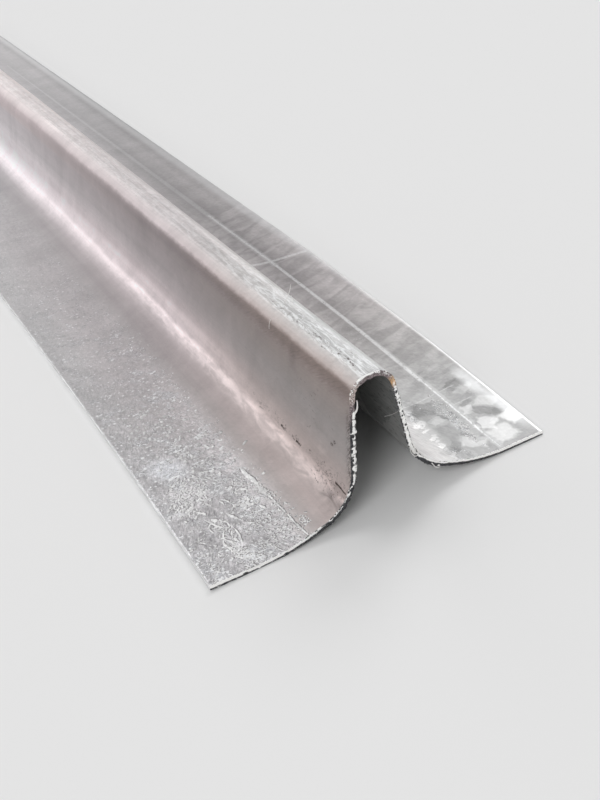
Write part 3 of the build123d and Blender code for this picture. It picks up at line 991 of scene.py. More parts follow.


# How pale the zinc looks across the sheet, painted light included: a painted highlight along the
# left bend, palest away from the cut, one along the right bend near the cut, and painted shade on
# the left web. Columns: mm from the crown's middle, tone at the cut, about 90 mm in and from
# 320 mm on, and how warm it is at the cut (0 grey, 1 brown)
zincToneAndLight = [
    (-61.4, 0.44, 0.42, 0.36, 0),
    (-52, 0.47, 0.46, 0.38, 0.02),
    (-46, 0.51, 0.41, 0.35, 0.03),
    (-40, 0.66, 0.41, 0.31, 0.1),
    (-36, 0.46, 0.34, 0.31, 0.5),
    (-33.5, 0.5, 0.4, 0.39, 0.7),
    (-31.9, 0.51, 0.46, 0.64, 0.72),
    (-30.9, 0.54, 0.53, 0.78, 0.72),
    (-29.6, 0.59, 0.75, 0.95, 0.74),
    (-28.6, 0.66, 0.92, 1, 0.78),
    (-27.7, 0.55, 0.67, 1, 0.82),
    (-25, 0.5, 0.94, 1, 0.62),
    (-22.6, 0.56, 0.79, 1, 0.37),
    (-20, 0.48, 0.64, 1, 0.29),
    (-16, 0.44, 0.47, 0.77, 0.26),
    (-12, 0.36, 0.41, 0.71, 0.48),
    (-9, 0.35, 0.35, 0.69, 0.66),
    (-6.2, 0.24, 0.26, 0.66, 1),
    (-5.2, 0.25, 0.3, 0.61, 0.97),
    (-4.4, 0.5, 0.58, 0.63, 0.58),
    (-2.8, 0.71, 0.63, 0.66, 0.26),
    (-1.4, 0.57, 0.51, 0.66, 0.05),
    (0, 0.5, 0.55, 0.63, 0),
    (3.4, 0.79, 0.62, 0.76, 0),
    (7, 0.44, 0.75, 1, 0.05),
    (18, 0.5, 0.51, 0.6, 0.3),
    (31, 1, 0.7, 0.6, 0.1),
    (37, 0.72, 0.47, 0.5, 0.05),
    (41, 0.37, 0.38, 0.6, 0),
    (50, 0.35, 0.25, 0.38, 0),
    (55, 0.36, 0.43, 0.4, 0),
    (61.4, 0.34, 0.48, 0.25, 0),
]

zincFinish = {
    "whiteMarkAndHighlight": (0.95, 0.96, 0.97, 1),
    "frostShadow": (0.20, 0.19, 0.20, 1),
    "haze": (0.86, 0.93, 1.0, 1),
    "ground": (1.01, 0.985, 1.01, 1),
    "darkMarkAndShade": (0.085, 0.06, 0.055, 1),
    # tint of a fully warm tone, partly a painted warm reflection: at the cut, in the left bend there,
    # about 90 mm in, from 320 mm on
    "warmNear": (1.16, 0.925, 0.85, 1),
    "warmBend": (1.15, 0.935, 0.90, 1),
    "warmMiddle": (1.09, 0.93, 0.95, 1),
    "warmFar": (1.05, 0.955, 1.00, 1),
    "crownFar": (1.03, 0.97, 0.945, 1),    # more of it on the crown and upper web, away from the cut
    "rough": 0.42,
    "metal": 0.9,
    "cell": 4.2,               # mm, size of a crystal
    "chatter": (-190.0, -10.0, 30.0),      # where the rolls' chatter shows, mm from the cut, and its fade
    "relief": 0.00006,         # height of the fine marks, in metres
}

# Noises of the zinc: size of a blot in mm, turn, detail, roughness, twist and shift
zincNoises = {
    "ragged": ((2.6, 1.1), 0, 3.0, 0.65, 0.3, (50.0, 3.0)),
    "slow": ((30, 12), 0, 2.0, 0.5, 0.0, (8.0, 60.0)),
    "pebbles": ((6.0, 1.6), 0, 3.0, 0.5, 0.4, (71.0, 5.0)),
    "brushed": ((3.4, 0.34), 26, 3.0, 0.6, 0.5, (11.0, 44.0)),
    "hatchedLeft": ((1.5, 0.40), -22, 3.0, 0.65, 0.6),
    "hatchedRight": ((1.5, 0.42), 18, 3.0, 0.65, 0.6),
    "rubbed": ((5, 0.7), 0, 4.0, 0.7, 0.5, (2.0, 33.0)),
    "wrinkles": ((1.5, 0.30), 48, 3.0, 0.6, 0.6),
}

# Zones across the sheet, in mm from the crown's middle: low, high and how wide their ends fade
zincZones = {
    "browning": (-10.5, 8.5, 2.5),
    "crown": (-3.2, 5.5, 1.5),
    "rubbed": (-2.4, 3.4, 0.9),
    "leftShoulder": (-9.4, -4.6, 1.6),
    "leftBend": (-32.0, -26.5, 1.5),
    "smoothBend": (-34.0, -23.0, 4.0),
    "wrinkles": (-26.0, -9.0, 2.5),
    "rightBend": (29.0, 40.0, 2.0),
    "rightFrost": (37.0, 49.6, 1.0),
}

# Fades in mm: where each begins and ends, and its values there where those aren't 0 and 1
zincFades = {
    # across the sheet, from the crown's middle
    "dulled": (-60.0, -44.0, 0.15, 0.42),
    "bendTint": (-30.0, -22.0),
    "flange": (33.0, 42.0),
    "hatched": (-50.0, -46.0),
    "rightBare": (30.0, 34.0, 0.0, 0.42),
    "leftRim": (-61.1, -60.85, 1.0, 0.0),
    "frosted": (-42.0, -36.5, 1.0, 0.0),
    # along the bar, from the cut (minus is into the bar)
    "nearCut": (-110.0, -15.0),
    "nearHalf": (-330.0, -60.0),
    "browning": (-330.0, -40.0, 1.0, 0.0),
    "glint": (-70.0, -18.0),
    "pebbles": (-200.0, -20.0, 0.1, 1.0),
    "brushed": (-120.0, -20.0),
    "rimStart": (-170.0, -30.0, 57.2, 60.5),
    "rim": (-120.0, -25.0, 0.30, 0.85),
    "leftRimAlong": (-75.0, -30.0, 0.3, 0.95),
    "frost": (-230.0, -10.0, 0.05, 0.54),
    "grit": (-120.0, -15.0, 0.25, 1.0),
    "white": (-110.0, -30.0, 0.55, 0.95),
    "rubbed": (-90.0, -12.0, 0.2, 0.7),
    "wrinkles": (-2.6, -0.3),
}

# How strongly each mark changes the zinc. Of a pair, the first is added where the mark is at home
# and the second holds everywhere.
zincAmounts = {
    "cloud": 0.34, "mottle": (0.3, 0.2), "streak": (0.7, 0.22), "chatter": 0.24, "pebbles": 0.34,
    "brushed": (0.5, 0.12), "crystal": (0.16, 0.06), "frostGrain": 0.55, "frostRagged": 0.26, "haze": 0.24,
    "shadow": 0.8, "shreds": 0.85, "wrinkles": 0.75,
    "raggedBorders": 0.9, "slowBorders": 1.2, "frostBorder": 7.0,     # mm that borders are pushed
    "warmShare": 0.55,         # share of the cut's warmth away from it
    "hatched": (0.76, 1.22),   # the frosted ground's darkest and palest tone
    "rimWidth": (0.6, 2.6),    # mm over which the right rim fades in, at the cut and away from it
    "whiteMetal": -0.45, "whiteRough": 0.2, "fineRough": 0.16, "bendRough": -0.05,
    # shares of the relief
    "whiteRelief": 2.2, "fineRelief": (-1.0, 1.2), "shadowRelief": -1.0, "gritRelief": 1.6,
    "streakRelief": 0.4, "chatterRelief": 0.2, "bump": 0.6,
}

# Patches of frost: middle (mm from the cut, mm across), size along and across, turn, amount
frostPatches = [
    ((-37, -53), (9, 5.5), 40, 0.45), ((-22, -43.3), (7, 3.6), 50, 0.5), ((-10, -51.6), (11, 2.6), 5, 0.55),
    ((-3, -50), (6, 4), 30, 0.45), ((-6, -42.5), (5, 3), 30, 0.45), ((-3, -58.8), (5, 2.6), 0, 0.45),
    ((-30, -47.5), (9, 3.4), 60, 0.25), ((-49, -46), (6, 3.2), 60, 0.2), ((-58, -52), (9, 4), 60, 0.2),
    ((-18, -57.5), (8, 3.2), 8, -0.5), ((-24, -50.2), (5, 2.6), 20, -0.3), ((-13, -46.6), (6, 2), 20, -0.2),
    ((-42, -57.5), (8, 3), 0, -0.3), ((-72, -42), (10, 5), 50, 0.22), ((-15, 47.7), (13, 2), 0, 0.55),
    ((-12, 46.8), (6, 1.4), 0, 0.3), ((-4, 39.5), (3.4, 1.8), 0, 0.45), ((-21, 39), (5, 1.5), -15, 0.35),
]

hazePatches = [((-44.5, -54), (8.5, 5.6), 20, 0.3), ((-20, -44), (3.6, 3.2), 0, 0.25)]

# Gleams beside the right edge near the cut, one with a soft outline and one with a ragged one
softGleams = [((-13, 60), (13, 2.4), 0, 0.46)]
raggedGleams = [((-28, 59.2), (11, 2.6), 0, 0.44)]

# Paler and darker clouds on the left flange and web: middle, half sizes, turn, how much
clouds = [
    ((-44.5, -54), (8, 5.4), 20, 0.54), ((-32, -53.6), (8, 5.5), 40, 0.44),
    ((-19.8, -43.8), (3.4, 3.2), 60, 0.95), ((-26.3, -57.2), (2.6, 3.4), 20, 0.38),
    ((-5.8, -51.4), (7.5, 2.8), 4, 0.85), ((-12.3, -48.2), (5, 2.6), 25, 0.28),
    ((-2.4, -59.4), (2.4, 1.8), 0, 0.14), ((-34.3, -45.6), (3.4, 3.6), 70, 0.14),
    ((-15, -56.8), (8.5, 2.8), 8, -0.12), ((-20, -58.4), (5, 2), 8, 0.14),
    ((-22.2, -51.8), (3.2, 1.1), 15, -0.2), ((-24.2, -46.8), (3.2, 1.8), 20, -0.26),
    ((-9.3, -46.2), (3.4, 1.6), 35, -0.12), ((-41, -58.2), (4, 2.2), 0, -0.08),
    ((-36, -42.5), (6, 4), 30, 0.16), ((-26, -8.4), (2.6, 4.5), 10, -0.12),
    ((-15.5, -26), (5, 2), 10, -0.1), ((-38, -25.4), (5, 2.2), 60, 0.08), ((-13, -23.8), (3.4, 1), 0, 0.12),
    ((-3, -29.8), (11, 2.4), 0, -0.34), ((-4, -42), (5, 3), 0, 0.12), ((-15, 47.7), (9, 1.8), 0, 0.16),
    ((-26.8, -58), (1.2, 3.6), 12, 0.25), ((-24.6, -57.4), (0.9, 3.2), 12, -0.2),
    ((-60, 48), (30, 5), 0, -0.03), ((-95, 51), (34, 4), 0, 0.07),
]

# Patches of dark pits and shreds: the same figures
pitPatches = [
    ((-7, -27.6), (12, 3.8), 0, 0.95), ((-34, -26.6), (34, 1.6), 0, 0.5), ((-20, -0.9), (40, 1.6), 0, 0.52),
    ((-17, -15), (16, 7), 0, 0.25),
]

# Painted glints: zinc crystals on the right flange and streaks along the right bend, made paler
# where they catch the light and darker where they don't: middle, half sizes, turn, and how much
# paler or darker
facets = [
    ((-14.7, 55.7), (4.1, 1.6), 42, -0.27), ((-10.6, 53.2), (2.6, 2.4), 48, 0.68),
    ((-9.6, 59.9), (2.7, 2.9), 20, 0.8), ((-5, 54.3), (3.2, 2.9), 8, 0.6),
    ((-17.8, 52.5), (1.9, 1.4), -20, 0.48), ((-29, 55.9), (2.2, 2.7), 20, -0.24),
    ((-25.8, 55.7), (1.5, 1.8), 30, 0.24), ((-24.5, 58.5), (2.5, 1.4), -10, 0.26),
    ((-18.4, 58), (2.7, 2.1), 45, 0.36), ((-29.4, 52.7), (0.5, 1.7), 15, -0.22),
    ((-20.5, 53.7), (0.9, 1.8), 20, -0.24), ((-10.6, 51.2), (1.7, 0.4), 3, -0.55),
    ((-23.6, 43.3), (3.4, 3.7), -8, -0.22), ((-17.4, 43.7), (1.5, 2.1), 20, 0.24),
    ((-11.6, 43.9), (3.8, 2.7), 10, -0.2), ((-5.6, 46.7), (2.4, 3.3), -30, 0.46),
    ((-5.6, 41.6), (2.7, 1.2), -35, -0.18), ((-18.6, 45.9), (1.5, 0.5), 15, -0.32),
    ((-17.3, 38.8), (2.2, 1.6), -30, 0.46), ((-22.2, 38.9), (2.8, 0.8), -20, 0.35),
    ((-14, 38.7), (1.6, 0.4), -65, 0.4), ((-11.8, 39.3), (1, 0.4), -60, 0.28),
    ((-10.3, 38.4), (1.5, 0.55), -68, 0.42), ((-9, 38.9), (0.6, 0.5), -30, 0.35),
    ((-6.8, 38.3), (1.4, 0.6), -50, 0.4), ((-5.2, 38.4), (0.9, 0.4), -60, 0.24),
    ((-1.5, 38.3), (1.2, 0.4), 30, 0.28), ((-6.2, 48.4), (0.9, 2), 5, -0.22),
    ((-38.6, 55.6), (1.8, 1.6), 40, 0.12), ((-35.6, 55.2), (1.6, 3.4), 10, -0.1),
    ((-40.6, 53.4), (2.4, 3), 30, -0.06),
]

# Marks at their own places: from and to (mm from the cut, mm across), width, taper, strength,
# and how far the line wobbles
paleScratches = [
    ((-1, 50.8), (-9, 50.4), 0.5, 0, 0.35, 0.4), ((-8, 50.4), (-42, 50.2), 0.62, 0, 0.5, 0.3),
    ((-36, 50.2), (-170, 49.6), 1.4, 0.3, 0.4, 0.1), ((-120, 49.8), (-420, 48.7), 2.4, 0.8, 0.16, 0.1),
    ((2, 50.9), (-60, 50.3), 1.9, 0.2, 0.16, 0.1), ((0.5, 38.4), (-12, 39.4), 0.7, 0.2, 0.5, 1.6),
    ((-26, 39.6), (-28.4, 49.5), 0.5, 0, 0.2, 0.5), ((-28.5, 50.6), (-29, 55.6), 0.4, 0.3, 0.22, 0.4),
    ((-21.6, 50.8), (-21.8, 56.2), 0.4, 0.3, 0.28, 0.5), ((-124.5, 42), (-121.5, 60), 1.8, 0, 0.3, 0.2),
    ((-125, 43.5), (-170, 43), 0.9, 0.5, 0.25, 0.2), ((-17.2, -1.7), (-14.2, -1.4), 0.5, 0.3, 0.8, 0.8),
    ((-8, 0.8), (-2, 0.9), 0.4, 0.3, 0.7, 0.5), ((-40.2, -0.6), (-38.8, -0.5), 0.4, 0.3, 0.6, 0.5),
]

darkScratches = [
    ((-5.2, -27), (-0.6, -27.2), 0.5, 0.2, 1, 0.4), ((-5.2, -27), (-5.4, -25.3), 0.3, 0.3, 0.6, 0.4),
    ((-45, -26.7), (-43, -26.9), 0.8, 0.3, 0.6, 0.9), ((-43.2, -27.5), (-41.4, -27.3), 0.5, 0.3, 0.45, 0.6),
    ((-31.9, -26.9), (-29.9, -27), 0.75, 0.2, 1, 0.6), ((-24.2, -26.9), (-22.1, -26.9), 0.62, 0.1, 1, 0.6),
    ((-26.4, -26.9), (-25, -27), 0.6, 0.3, 0.55, 0.6), ((-25.3, -26.3), (-24.8, -26), 0.5, 0.3, 0.5, 0.5),
    ((-18.2, -26.2), (-17.3, -26.1), 0.5, 0.3, 0.5, 0.5),
    ((-13.6, -29.1), (-12.3, -29.5), 0.32, 0.2, 0.9, 0.8),
    ((-12.4, -29.5), (-10.2, -29.9), 0.36, 0.2, 0.8, 0.8),
    ((-13.2, -28.3), (-12.5, -27.9), 0.35, 0.2, 0.7, 0.6), ((-9, -28.4), (-8.2, -27.9), 0.3, 0.2, 0.6, 0.6),
    ((-8.6, -20.3), (-8.1, -20.1), 1.1, 0.2, 0.75, 0.5), ((-7.3, -19.3), (-6.9, -19.1), 1.1, 0.2, 0.8, 0.5),
    ((-20.2, -21.8), (-18.2, -20.7), 0.34, 0.2, 0.4, 0.8),
    ((-22.1, -0.7), (-18.5, -0.7), 0.5, 0.2, 0.9, 0.9), ((-11.3, -0.8), (-10.6, -0.8), 0.6, 0.2, 0.9, 0.6),
    ((-8.7, -0.3), (-7.8, -0.4), 0.6, 0.2, 0.9, 0.6), ((-7.9, -0.5), (-5, -0.8), 0.45, 0.2, 0.85, 0.7),
    ((-38.4, -1.1), (-37.6, -0.9), 0.45, 0.2, 0.7, 0.6),
    ((-17.2, -1.9), (-16.3, -2.1), 0.26, 0.2, 0.8, 0.6),
    ((-16.4, -2.1), (-14.8, -1.8), 0.26, 0.2, 0.8, 0.6),
    ((-21.4, -1.7), (-20.3, -1.9), 0.26, 0.2, 0.6, 0.6), ((-10.2, 1.3), (-2.4, 0.9), 0.3, 0.3, 0.45, 0.6),
]


# What all parts of the zinc finish share: places, zones, noises and the weather's marks
def zincSheet(tree):
    place = sheetPlace(tree)
    along, across = alongAcross(tree, place)
    sheet = SimpleNamespace(
        tree=tree, place=place, along=along, across=across,
        marks=useGroup(tree, weather, {"Vector": place}),
        flat=vectorCalc(tree, "MULTIPLY", {0: place, 1: (1, 1, 0)}),
        noise=lambda name: noise(tree, place, *zincNoises[name]),
        zone=lambda name: zone(tree, across, *zincZones[name]),
        fadeAlong=lambda name: fade(tree, along, *zincFades[name]),
        fadeAcross=lambda name: fade(tree, across, *zincFades[name]))
    push = vectorCalc(tree, "SUBTRACT", {0: drift(tree, place, 0.45, 2.0), 1: (0.5, 0.5, 0)})
    sheet.bent = vectorCalc(tree, "MULTIPLY_ADD", {0: push, 1: (1.6, 1.6, 0), 2: place})
    sheet.ragged, sheet.slow = sheet.noise("ragged"), sheet.noise("slow")
    sheet.nearCut = sheet.fadeAlong("nearCut")
    sheet.rightFlange = sheet.fadeAcross("flange")
    sheet.crown, sheet.leftBend = sheet.zone("crown"), sheet.zone("leftBend")
    flanges = fade(tree, calc(tree, "ABSOLUTE", across), *zincFades["flange"])
    sheet.mottle = scaled(tree, calc(tree, "ADD", flanges, sheet.crown), *zincAmounts["mottle"])
    return sheet


# Tone and warmth across the sheet, from the table of tones with its painted highlights and
# painted shade, their borders made ragged
def toneAndLightColour(sheet):
    tree, cfg, amounts = sheet.tree, zincFinish, zincAmounts
    wander = swing(tree, sheet.ragged, amounts["raggedBorders"], sheet.across)
    wander = swing(tree, sheet.slow, amounts["slowBorders"], wander)
    reach = 62.0               # the ramp runs over this many mm on each side of the crown
    spot = addNode(tree, "ShaderNodeMapRange", {"Value": wander, "From Min": -reach, "From Max": reach})
    ramp = addNode(tree, "ShaderNodeValToRGB", {0: spot.outputs[0]})
    stops = ramp.color_ramp.elements
    stops.remove(stops[0])
    for k, (across, *tones) in enumerate(zincToneAndLight):
        position = (across + reach) / (2 * reach)
        stop = stops[0] if k == 0 else stops.new(position)
        stop.position = position
        stop.color = tones
    near, middle, far = addNode(tree, "ShaderNodeSeparateColor", {0: ramp.outputs["Color"]}).outputs
    warmth = ramp.outputs["Alpha"]
    nearHalf = sheet.fadeAlong("nearHalf")
    pale = mixNumber(tree, nearHalf, far, mixNumber(tree, sheet.nearCut, middle, near))
    cooler = scaled(tree, warmth, amounts["warmShare"], sheet.fadeAcross("dulled"))
    warm = mixNumber(tree, sheet.nearCut, cooler, warmth)
    warmNear = blend(tree, sheet.fadeAcross("bendTint"), cfg["warmBend"], cfg["warmNear"])
    tint = blend(tree, sheet.nearCut, blend(tree, nearHalf, cfg["warmFar"], cfg["warmMiddle"]), warmNear)
    colour = shade(tree, blend(tree, warm, (1, 1, 1, 1), tint), pale)
    # warmer cast on the crown and upper web away from the cut, partly a painted reflection
    browning = times(tree, sheet.zone("browning"), sheet.fadeAlong("browning"))
    return blend(tree, browning, colour, tinted(tree, colour, cfg["crownFar"]))


# Clouds, mottle, streaks, chatter and crystals, stronger where the photo shows them
def variedColour(sheet, colour):
    tree, marks, amounts = sheet.tree, sheet.marks, zincAmounts
    crystal = useGroup(tree, spangle, {"Vector": sheet.place, "Cell": zincFinish["cell"]})
    # painted glints: the crystals' tones spread wider on the right flange near the cut
    glint = times(tree, sheet.rightFlange, sheet.fadeAlong("glint"))
    pebbles = fade(tree, sheet.noise("pebbles"), 0.30, 0.70)
    chatter = zone(tree, sheet.along, *zincFinish["chatter"])
    chatter = times(tree, sheet.rightFlange, chatter, amounts["chatter"])
    brushed = calc(tree, "ADD", sheet.zone("leftShoulder"), sheet.zone("rightBend"))
    brushed = times(tree, sheet.fadeAlong("brushed"), scaled(tree, brushed, *amounts["brushed"]))
    tone = times(
        tree, swing(tree, marks["Cloud"], amounts["cloud"]), swing(tree, marks["Fine"], sheet.mottle),
        swing(tree, marks["Streak"], scaled(tree, sheet.crown, *amounts["streak"])),
        swing(tree, marks["Chatter"], chatter),
        swing(tree, pebbles, times(tree, sheet.leftBend, sheet.fadeAlong("pebbles"), amounts["pebbles"])),
        swing(tree, sheet.noise("brushed"), brushed),
        swing(tree, crystal["Tone"], scaled(tree, glint, *amounts["crystal"])))
    # the facets add painted glints, the clouds the sheet's paler and darker tone
    spots = calc(tree, "ADD", addUp(tree, plate, sheet.bent, facets), addUp(tree, patch, sheet.bent, clouds))
    return shade(tree, colour, calc(tree, "ADD", tone, spots))


# Painted highlights: pale rims along both edges where they catch the light, and two painted
# gleams of glare on the right one near the cut
def rimHighlightColour(sheet, colour):
    tree, white = sheet.tree, zincFinish["whiteMarkAndHighlight"]
    inside = calc(tree, "SUBTRACT", sheet.across, sheet.fadeAlong("rimStart"))
    narrow, wide = zincAmounts["rimWidth"]
    rim = fade(tree, inside, 0.0, mixNumber(tree, sheet.nearCut, wide, narrow))
    rim = times(tree, rim, sheet.fadeAlong("rim"))
    leftRim = times(tree, sheet.fadeAcross("leftRim"), sheet.fadeAlong("leftRimAlong"))
    # painted highlight along both edges
    colour = blend(tree, calc(tree, "MAXIMUM", rim, leftRim), colour, white)
    gleam = addUp(tree, patch, sheet.flat, softGleams)
    gleam = addUp(tree, patch, sheet.bent, raggedGleams, gleam)
    # painted gleams of glare beside the right edge
    return blend(tree, gleam, colour, white)


# Frost on the left flange, in the photo's patches, and a little of it elsewhere. Also gives the
# frost's own marks and the relief of the gritty, hatched ground under it.
def frostedColour(sheet, colour):
    tree, cfg, amounts = sheet.tree, zincFinish, zincAmounts
    cover = times(tree, sheet.fadeAlong("frost"), fade(tree, sheet.slow, 0.30, 0.62, 0.45, 1.0))
    cover = calc(tree, "ADD", cover, addUp(tree, patch, sheet.flat, frostPatches))
    border = swing(tree, sheet.ragged, amounts["frostBorder"], sheet.across)
    frosted = fade(tree, border, *zincFades["frosted"])
    marked = calc(tree, "MAXIMUM", frosted, sheet.zone("rightFrost"))
    cover = calc(tree, "SUBTRACT", cover, sheet.fadeAcross("rightBare"))
    cover = clamped(tree, times(tree, cover, marked))
    frosting = useGroup(tree, frost, {"Vector": sheet.place, "Cover": cover})
    hatched = mixNumber(tree, sheet.fadeAcross("hatched"), sheet.noise("hatchedLeft"),
                        sheet.noise("hatchedRight"))
    grit = times(tree, frosted, sheet.fadeAlong("grit"))
    colour = shade(tree, colour, swing(tree, frosting["Grain"], times(tree, grit, amounts["frostGrain"])))
    ragged = fade(tree, sheet.ragged, 0.36, 0.64)
    colour = shade(tree, colour, swing(tree, ragged, times(tree, grit, amounts["frostRagged"])))
    ground = tinted(tree, colour, cfg["ground"])
    ground = shade(tree, ground, fade(tree, hatched, 0.34, 0.66, *amounts["hatched"]))
    colour = blend(tree, grit, colour, ground)
    haze = addUp(tree, patch, sheet.bent, hazePatches)
    haze = scaled(tree, frosting["Haze"], amounts["haze"], haze)
    colour = blend(tree, haze, colour, cfg["haze"])
    # painted shadow beside the frost's threads and round its flecks
    colour = blend(tree, times(tree, frosting["Shadow"], amounts["shadow"]), colour, cfg["frostShadow"])
    colour = blend(tree, times(tree, frosting["Mask"], sheet.fadeAlong("white")), colour, cfg["whiteMarkAndHighlight"])
    return colour, frosting, times(tree, grit, hatched)


# The strongest of a table's scratches at each place
def drawnScratches(sheet, table):
    lines = 0.0
    for start, end, width, taper, strength, wobble in table:
        line = useGroup(sheet.tree, scratch, {
            "Vector": sheet.place, "From": (*start, 0), "To": (*end, 0), "Width": width, "Taper": taper,
            "Wobble": wobble})
        lines = calc(sheet.tree, "MAXIMUM", times(sheet.tree, line["Mask"], strength), lines)
    return lines


# Scratches, pits, and painted shade in the wrinkles of the left web at the cut
def scratchedColour(sheet, colour):
    tree, cfg = sheet.tree, zincFinish
    colour = blend(tree, drawnScratches(sheet, paleScratches), colour, cfg["whiteMarkAndHighlight"])
    shreds = useGroup(
        tree, pits, {"Vector": sheet.place, "Cover": addUp(tree, patch, sheet.flat, pitPatches)})["Mask"]
    shreds = times(tree, shreds, zincAmounts["shreds"])
    dark = calc(tree, "MAXIMUM", shreds, drawnScratches(sheet, darkScratches))
    colour = blend(tree, dark, colour, cfg["darkMarkAndShade"])
    # painted shade: darker streaks within 2.6 mm of the cut on the left web, where it is wrinkled
    wrinkles = times(tree, sheet.fadeAlong("wrinkles"), sheet.zone("wrinkles"),
                     fade(tree, sheet.noise("wrinkles"), 0.42, 0.58))
    return blend(tree, times(tree, wrinkles, zincAmounts["wrinkles"]), colour, cfg["darkMarkAndShade"])


def scuffedZinc():
    cfg, amounts = zincFinish, zincAmounts
    material, tree, surface = newMaterial("scuffed_zinc")
    sheet = zincSheet(tree)
    colour = rimHighlightColour(sheet, variedColour(sheet, toneAndLightColour(sheet)))
    colour, frosting, grit = frostedColour(sheet, colour)
    # white scuffing along the crown, in broken smears
    rubbed = times(tree, fade(tree, sheet.noise("rubbed"), 0.44, 0.60), sheet.zone("rubbed"),
                   sheet.fadeAlong("rubbed"))
    colour = scratchedColour(sheet, blend(tree, rubbed, colour, cfg["whiteMarkAndHighlight"]))
    feed(tree, surface["Base Color"], colour)
    white = calc(tree, "MAXIMUM", frosting["Mask"], rubbed)
    feed(tree, surface["Metallic"], scaled(tree, white, amounts["whiteMetal"], cfg["metal"]))
    fine = sheet.marks["Fine"]
    rough = scaled(tree, fine, amounts["fineRough"], cfg["rough"] - amounts["fineRough"] / 2)
    rough = scaled(tree, sheet.zone("smoothBend"), amounts["bendRough"], rough)
    feed(tree, surface["Roughness"], scaled(tree, white, amounts["whiteRough"], rough))
    height = times(tree, fine, sheet.mottle, scaled(tree, sheet.leftBend, *amounts["fineRelief"]))
    chatter = times(tree, sheet.rightFlange, amounts["chatterRelief"])
    marks = [(white, amounts["whiteRelief"]), (frosting["Shadow"], amounts["shadowRelief"]),
             (grit, amounts["gritRelief"]), (sheet.marks["Streak"], amounts["streakRelief"]),
             (sheet.marks["Chatter"], chatter)]
    for mark, share in marks:
        height = scaled(tree, mark, share, height)
    addBump(tree, surface, amounts["bump"], cfg["relief"], height)
    return material


undersideFinish = {"zinc": (0.36, 0.365, 0.36, 1), "dusty": (0.54, 0.54, 0.53, 1), "rough": 0.55,
                   "metal": 0.75, "cell": 9.0, "relief": 0.00005}


def dullUnderside():
    cfg = undersideFinish
    material, tree, surface = newMaterial("dull_underside")
    place = sheetPlace(tree)
    marks = useGroup(tree, weather, {"Vector": place})
    crystal = useGroup(tree, spangle, {"Vector": place, "Cell": cfg["cell"]})
    share = scaled(tree, marks["Streak"], 0.7, times(tree, crystal["Tone"], 0.3))
    flecks = fade(tree, noise(tree, place, (2.2, 0.5), 0, 3.0, 0.6, 0.4), 0.58, 0.66)
    colour = blend(tree, fade(tree, share, 0.3, 0.7), cfg["zinc"], cfg["dusty"])
    feed(tree, surface["Base Color"], shade(tree, colour, scaled(tree, flecks, -0.4, 1.0)))
    feed(tree, surface["Metallic"], cfg["metal"])
    feed(tree, surface["Roughness"], scaled(tree, marks["Fine"], 0.2, cfg["rough"] - 0.1))
    addBump(tree, surface, 0.4, cfg["relief"], marks["Streak"])
    return material


edgeFinish = {"steel": (0.96, 0.96, 0.97, 1), "worn": (0.60, 0.59, 0.59, 1), "rough": 0.36, "metal": 0.4}


def slitEdge():
    cfg = edgeFinish
    material, tree, surface = newMaterial("slit_edge")
    streak = noise(tree, sheetPlace(tree), (9, 0.25), 0, 3.0, 0.6)
    feed(tree, surface["Base Color"], blend(tree, fade(tree, streak, 0.40, 0.62), cfg["steel"], cfg["worn"]))
    feed(tree, surface["Metallic"], cfg["metal"])
    feed(tree, surface["Roughness"], scaled(tree, streak, 0.3, cfg["rough"] - 0.1))
    return material


sawnFinish = {
    "bright": (1.0, 0.995, 0.975, 1),
    # nearly black: the torn steel's own dark with painted shade between its teeth and under its burrs
    "tornAndShaded": (0.045, 0.045, 0.05, 1),
    "crownTorn": (0.22, 0.18, 0.185, 1),
    "shoulderTorn": (0.42, 0.35, 0.33, 1),
    "rust": (0.80, 0.46, 0.18, 1),
    # where the torn ground is paler: low, high and fade, mm across
    "crownZone": (-13.0, 9.0, 3.0),
    "shoulderZone": (-8.8, -2.6, 1.2),
    "relief": 0.00006,
}


def sawnSteel():
    cfg = sawnFinish
    material, tree, surface = newMaterial("sawn_steel")
    place = sheetPlace(tree)
    across = alongAcross(tree, place)[1]
    shine, rust = [addNode(tree, "ShaderNodeAttribute", attribute_name=mark).outputs["Fac"]
                   for mark in ("shine", "rust")]
    grain = noise(tree, place, (0.36, 0.30), 0, 3.0, 0.7)
    tornAndShaded = blend(tree, zone(tree, across, *cfg["crownZone"]), cfg["tornAndShaded"], cfg["crownTorn"])
    tornAndShaded = blend(tree, zone(tree, across, *cfg["shoulderZone"]), tornAndShaded, cfg["shoulderTorn"])
    tornAndShaded = shade(tree, tornAndShaded, fade(tree, grain, 0.36, 0.64, 0.35, 1.6))
    share = fade(tree, swing(tree, grain, 0.4, shine), 0.20, 0.58)
    colour = blend(tree, share, tornAndShaded, cfg["bright"])
    colour = blend(tree, times(tree, rust, fade(tree, grain, 0.35, 0.6, 0.4, 1.0)), colour, cfg["rust"])
    feed(tree, surface["Base Color"], colour)
    feed(tree, surface["Metallic"], fade(tree, share, 0.0, 1.0, 0.4, 0.08))
    feed(tree, surface["Roughness"], scaled(tree, grain, 0.3, 0.2))
    addBump(tree, surface, 0.6, cfg["relief"], grain)
    return material


raisedFinish = {"grooveShadow": (0.22, 0.21, 0.215, 1), "white": (1.0, 1.0, 1.0, 1), "metal": 0.1, "rough": 0.42}


def raisedZinc():
    cfg = raisedFinish
    material, tree, surface = newMaterial("raised_zinc")
    shine = addNode(tree, "ShaderNodeAttribute", attribute_name="shine").outputs["Fac"]
    grain = noise(tree, sheetPlace(tree), (0.5, 0.4), 0, 2.0, 0.6)
    share = clamped(tree, swing(tree, grain, 0.35, shine))
    # shine 0, on the thread's sunk flank, gives a painted shadow
    feed(tree, surface["Base Color"], blend(tree, share, cfg["grooveShadow"], cfg["white"]))
    feed(tree, surface["Metallic"], cfg["metal"])
    feed(tree, surface["Roughness"], cfg["rough"])
    return material


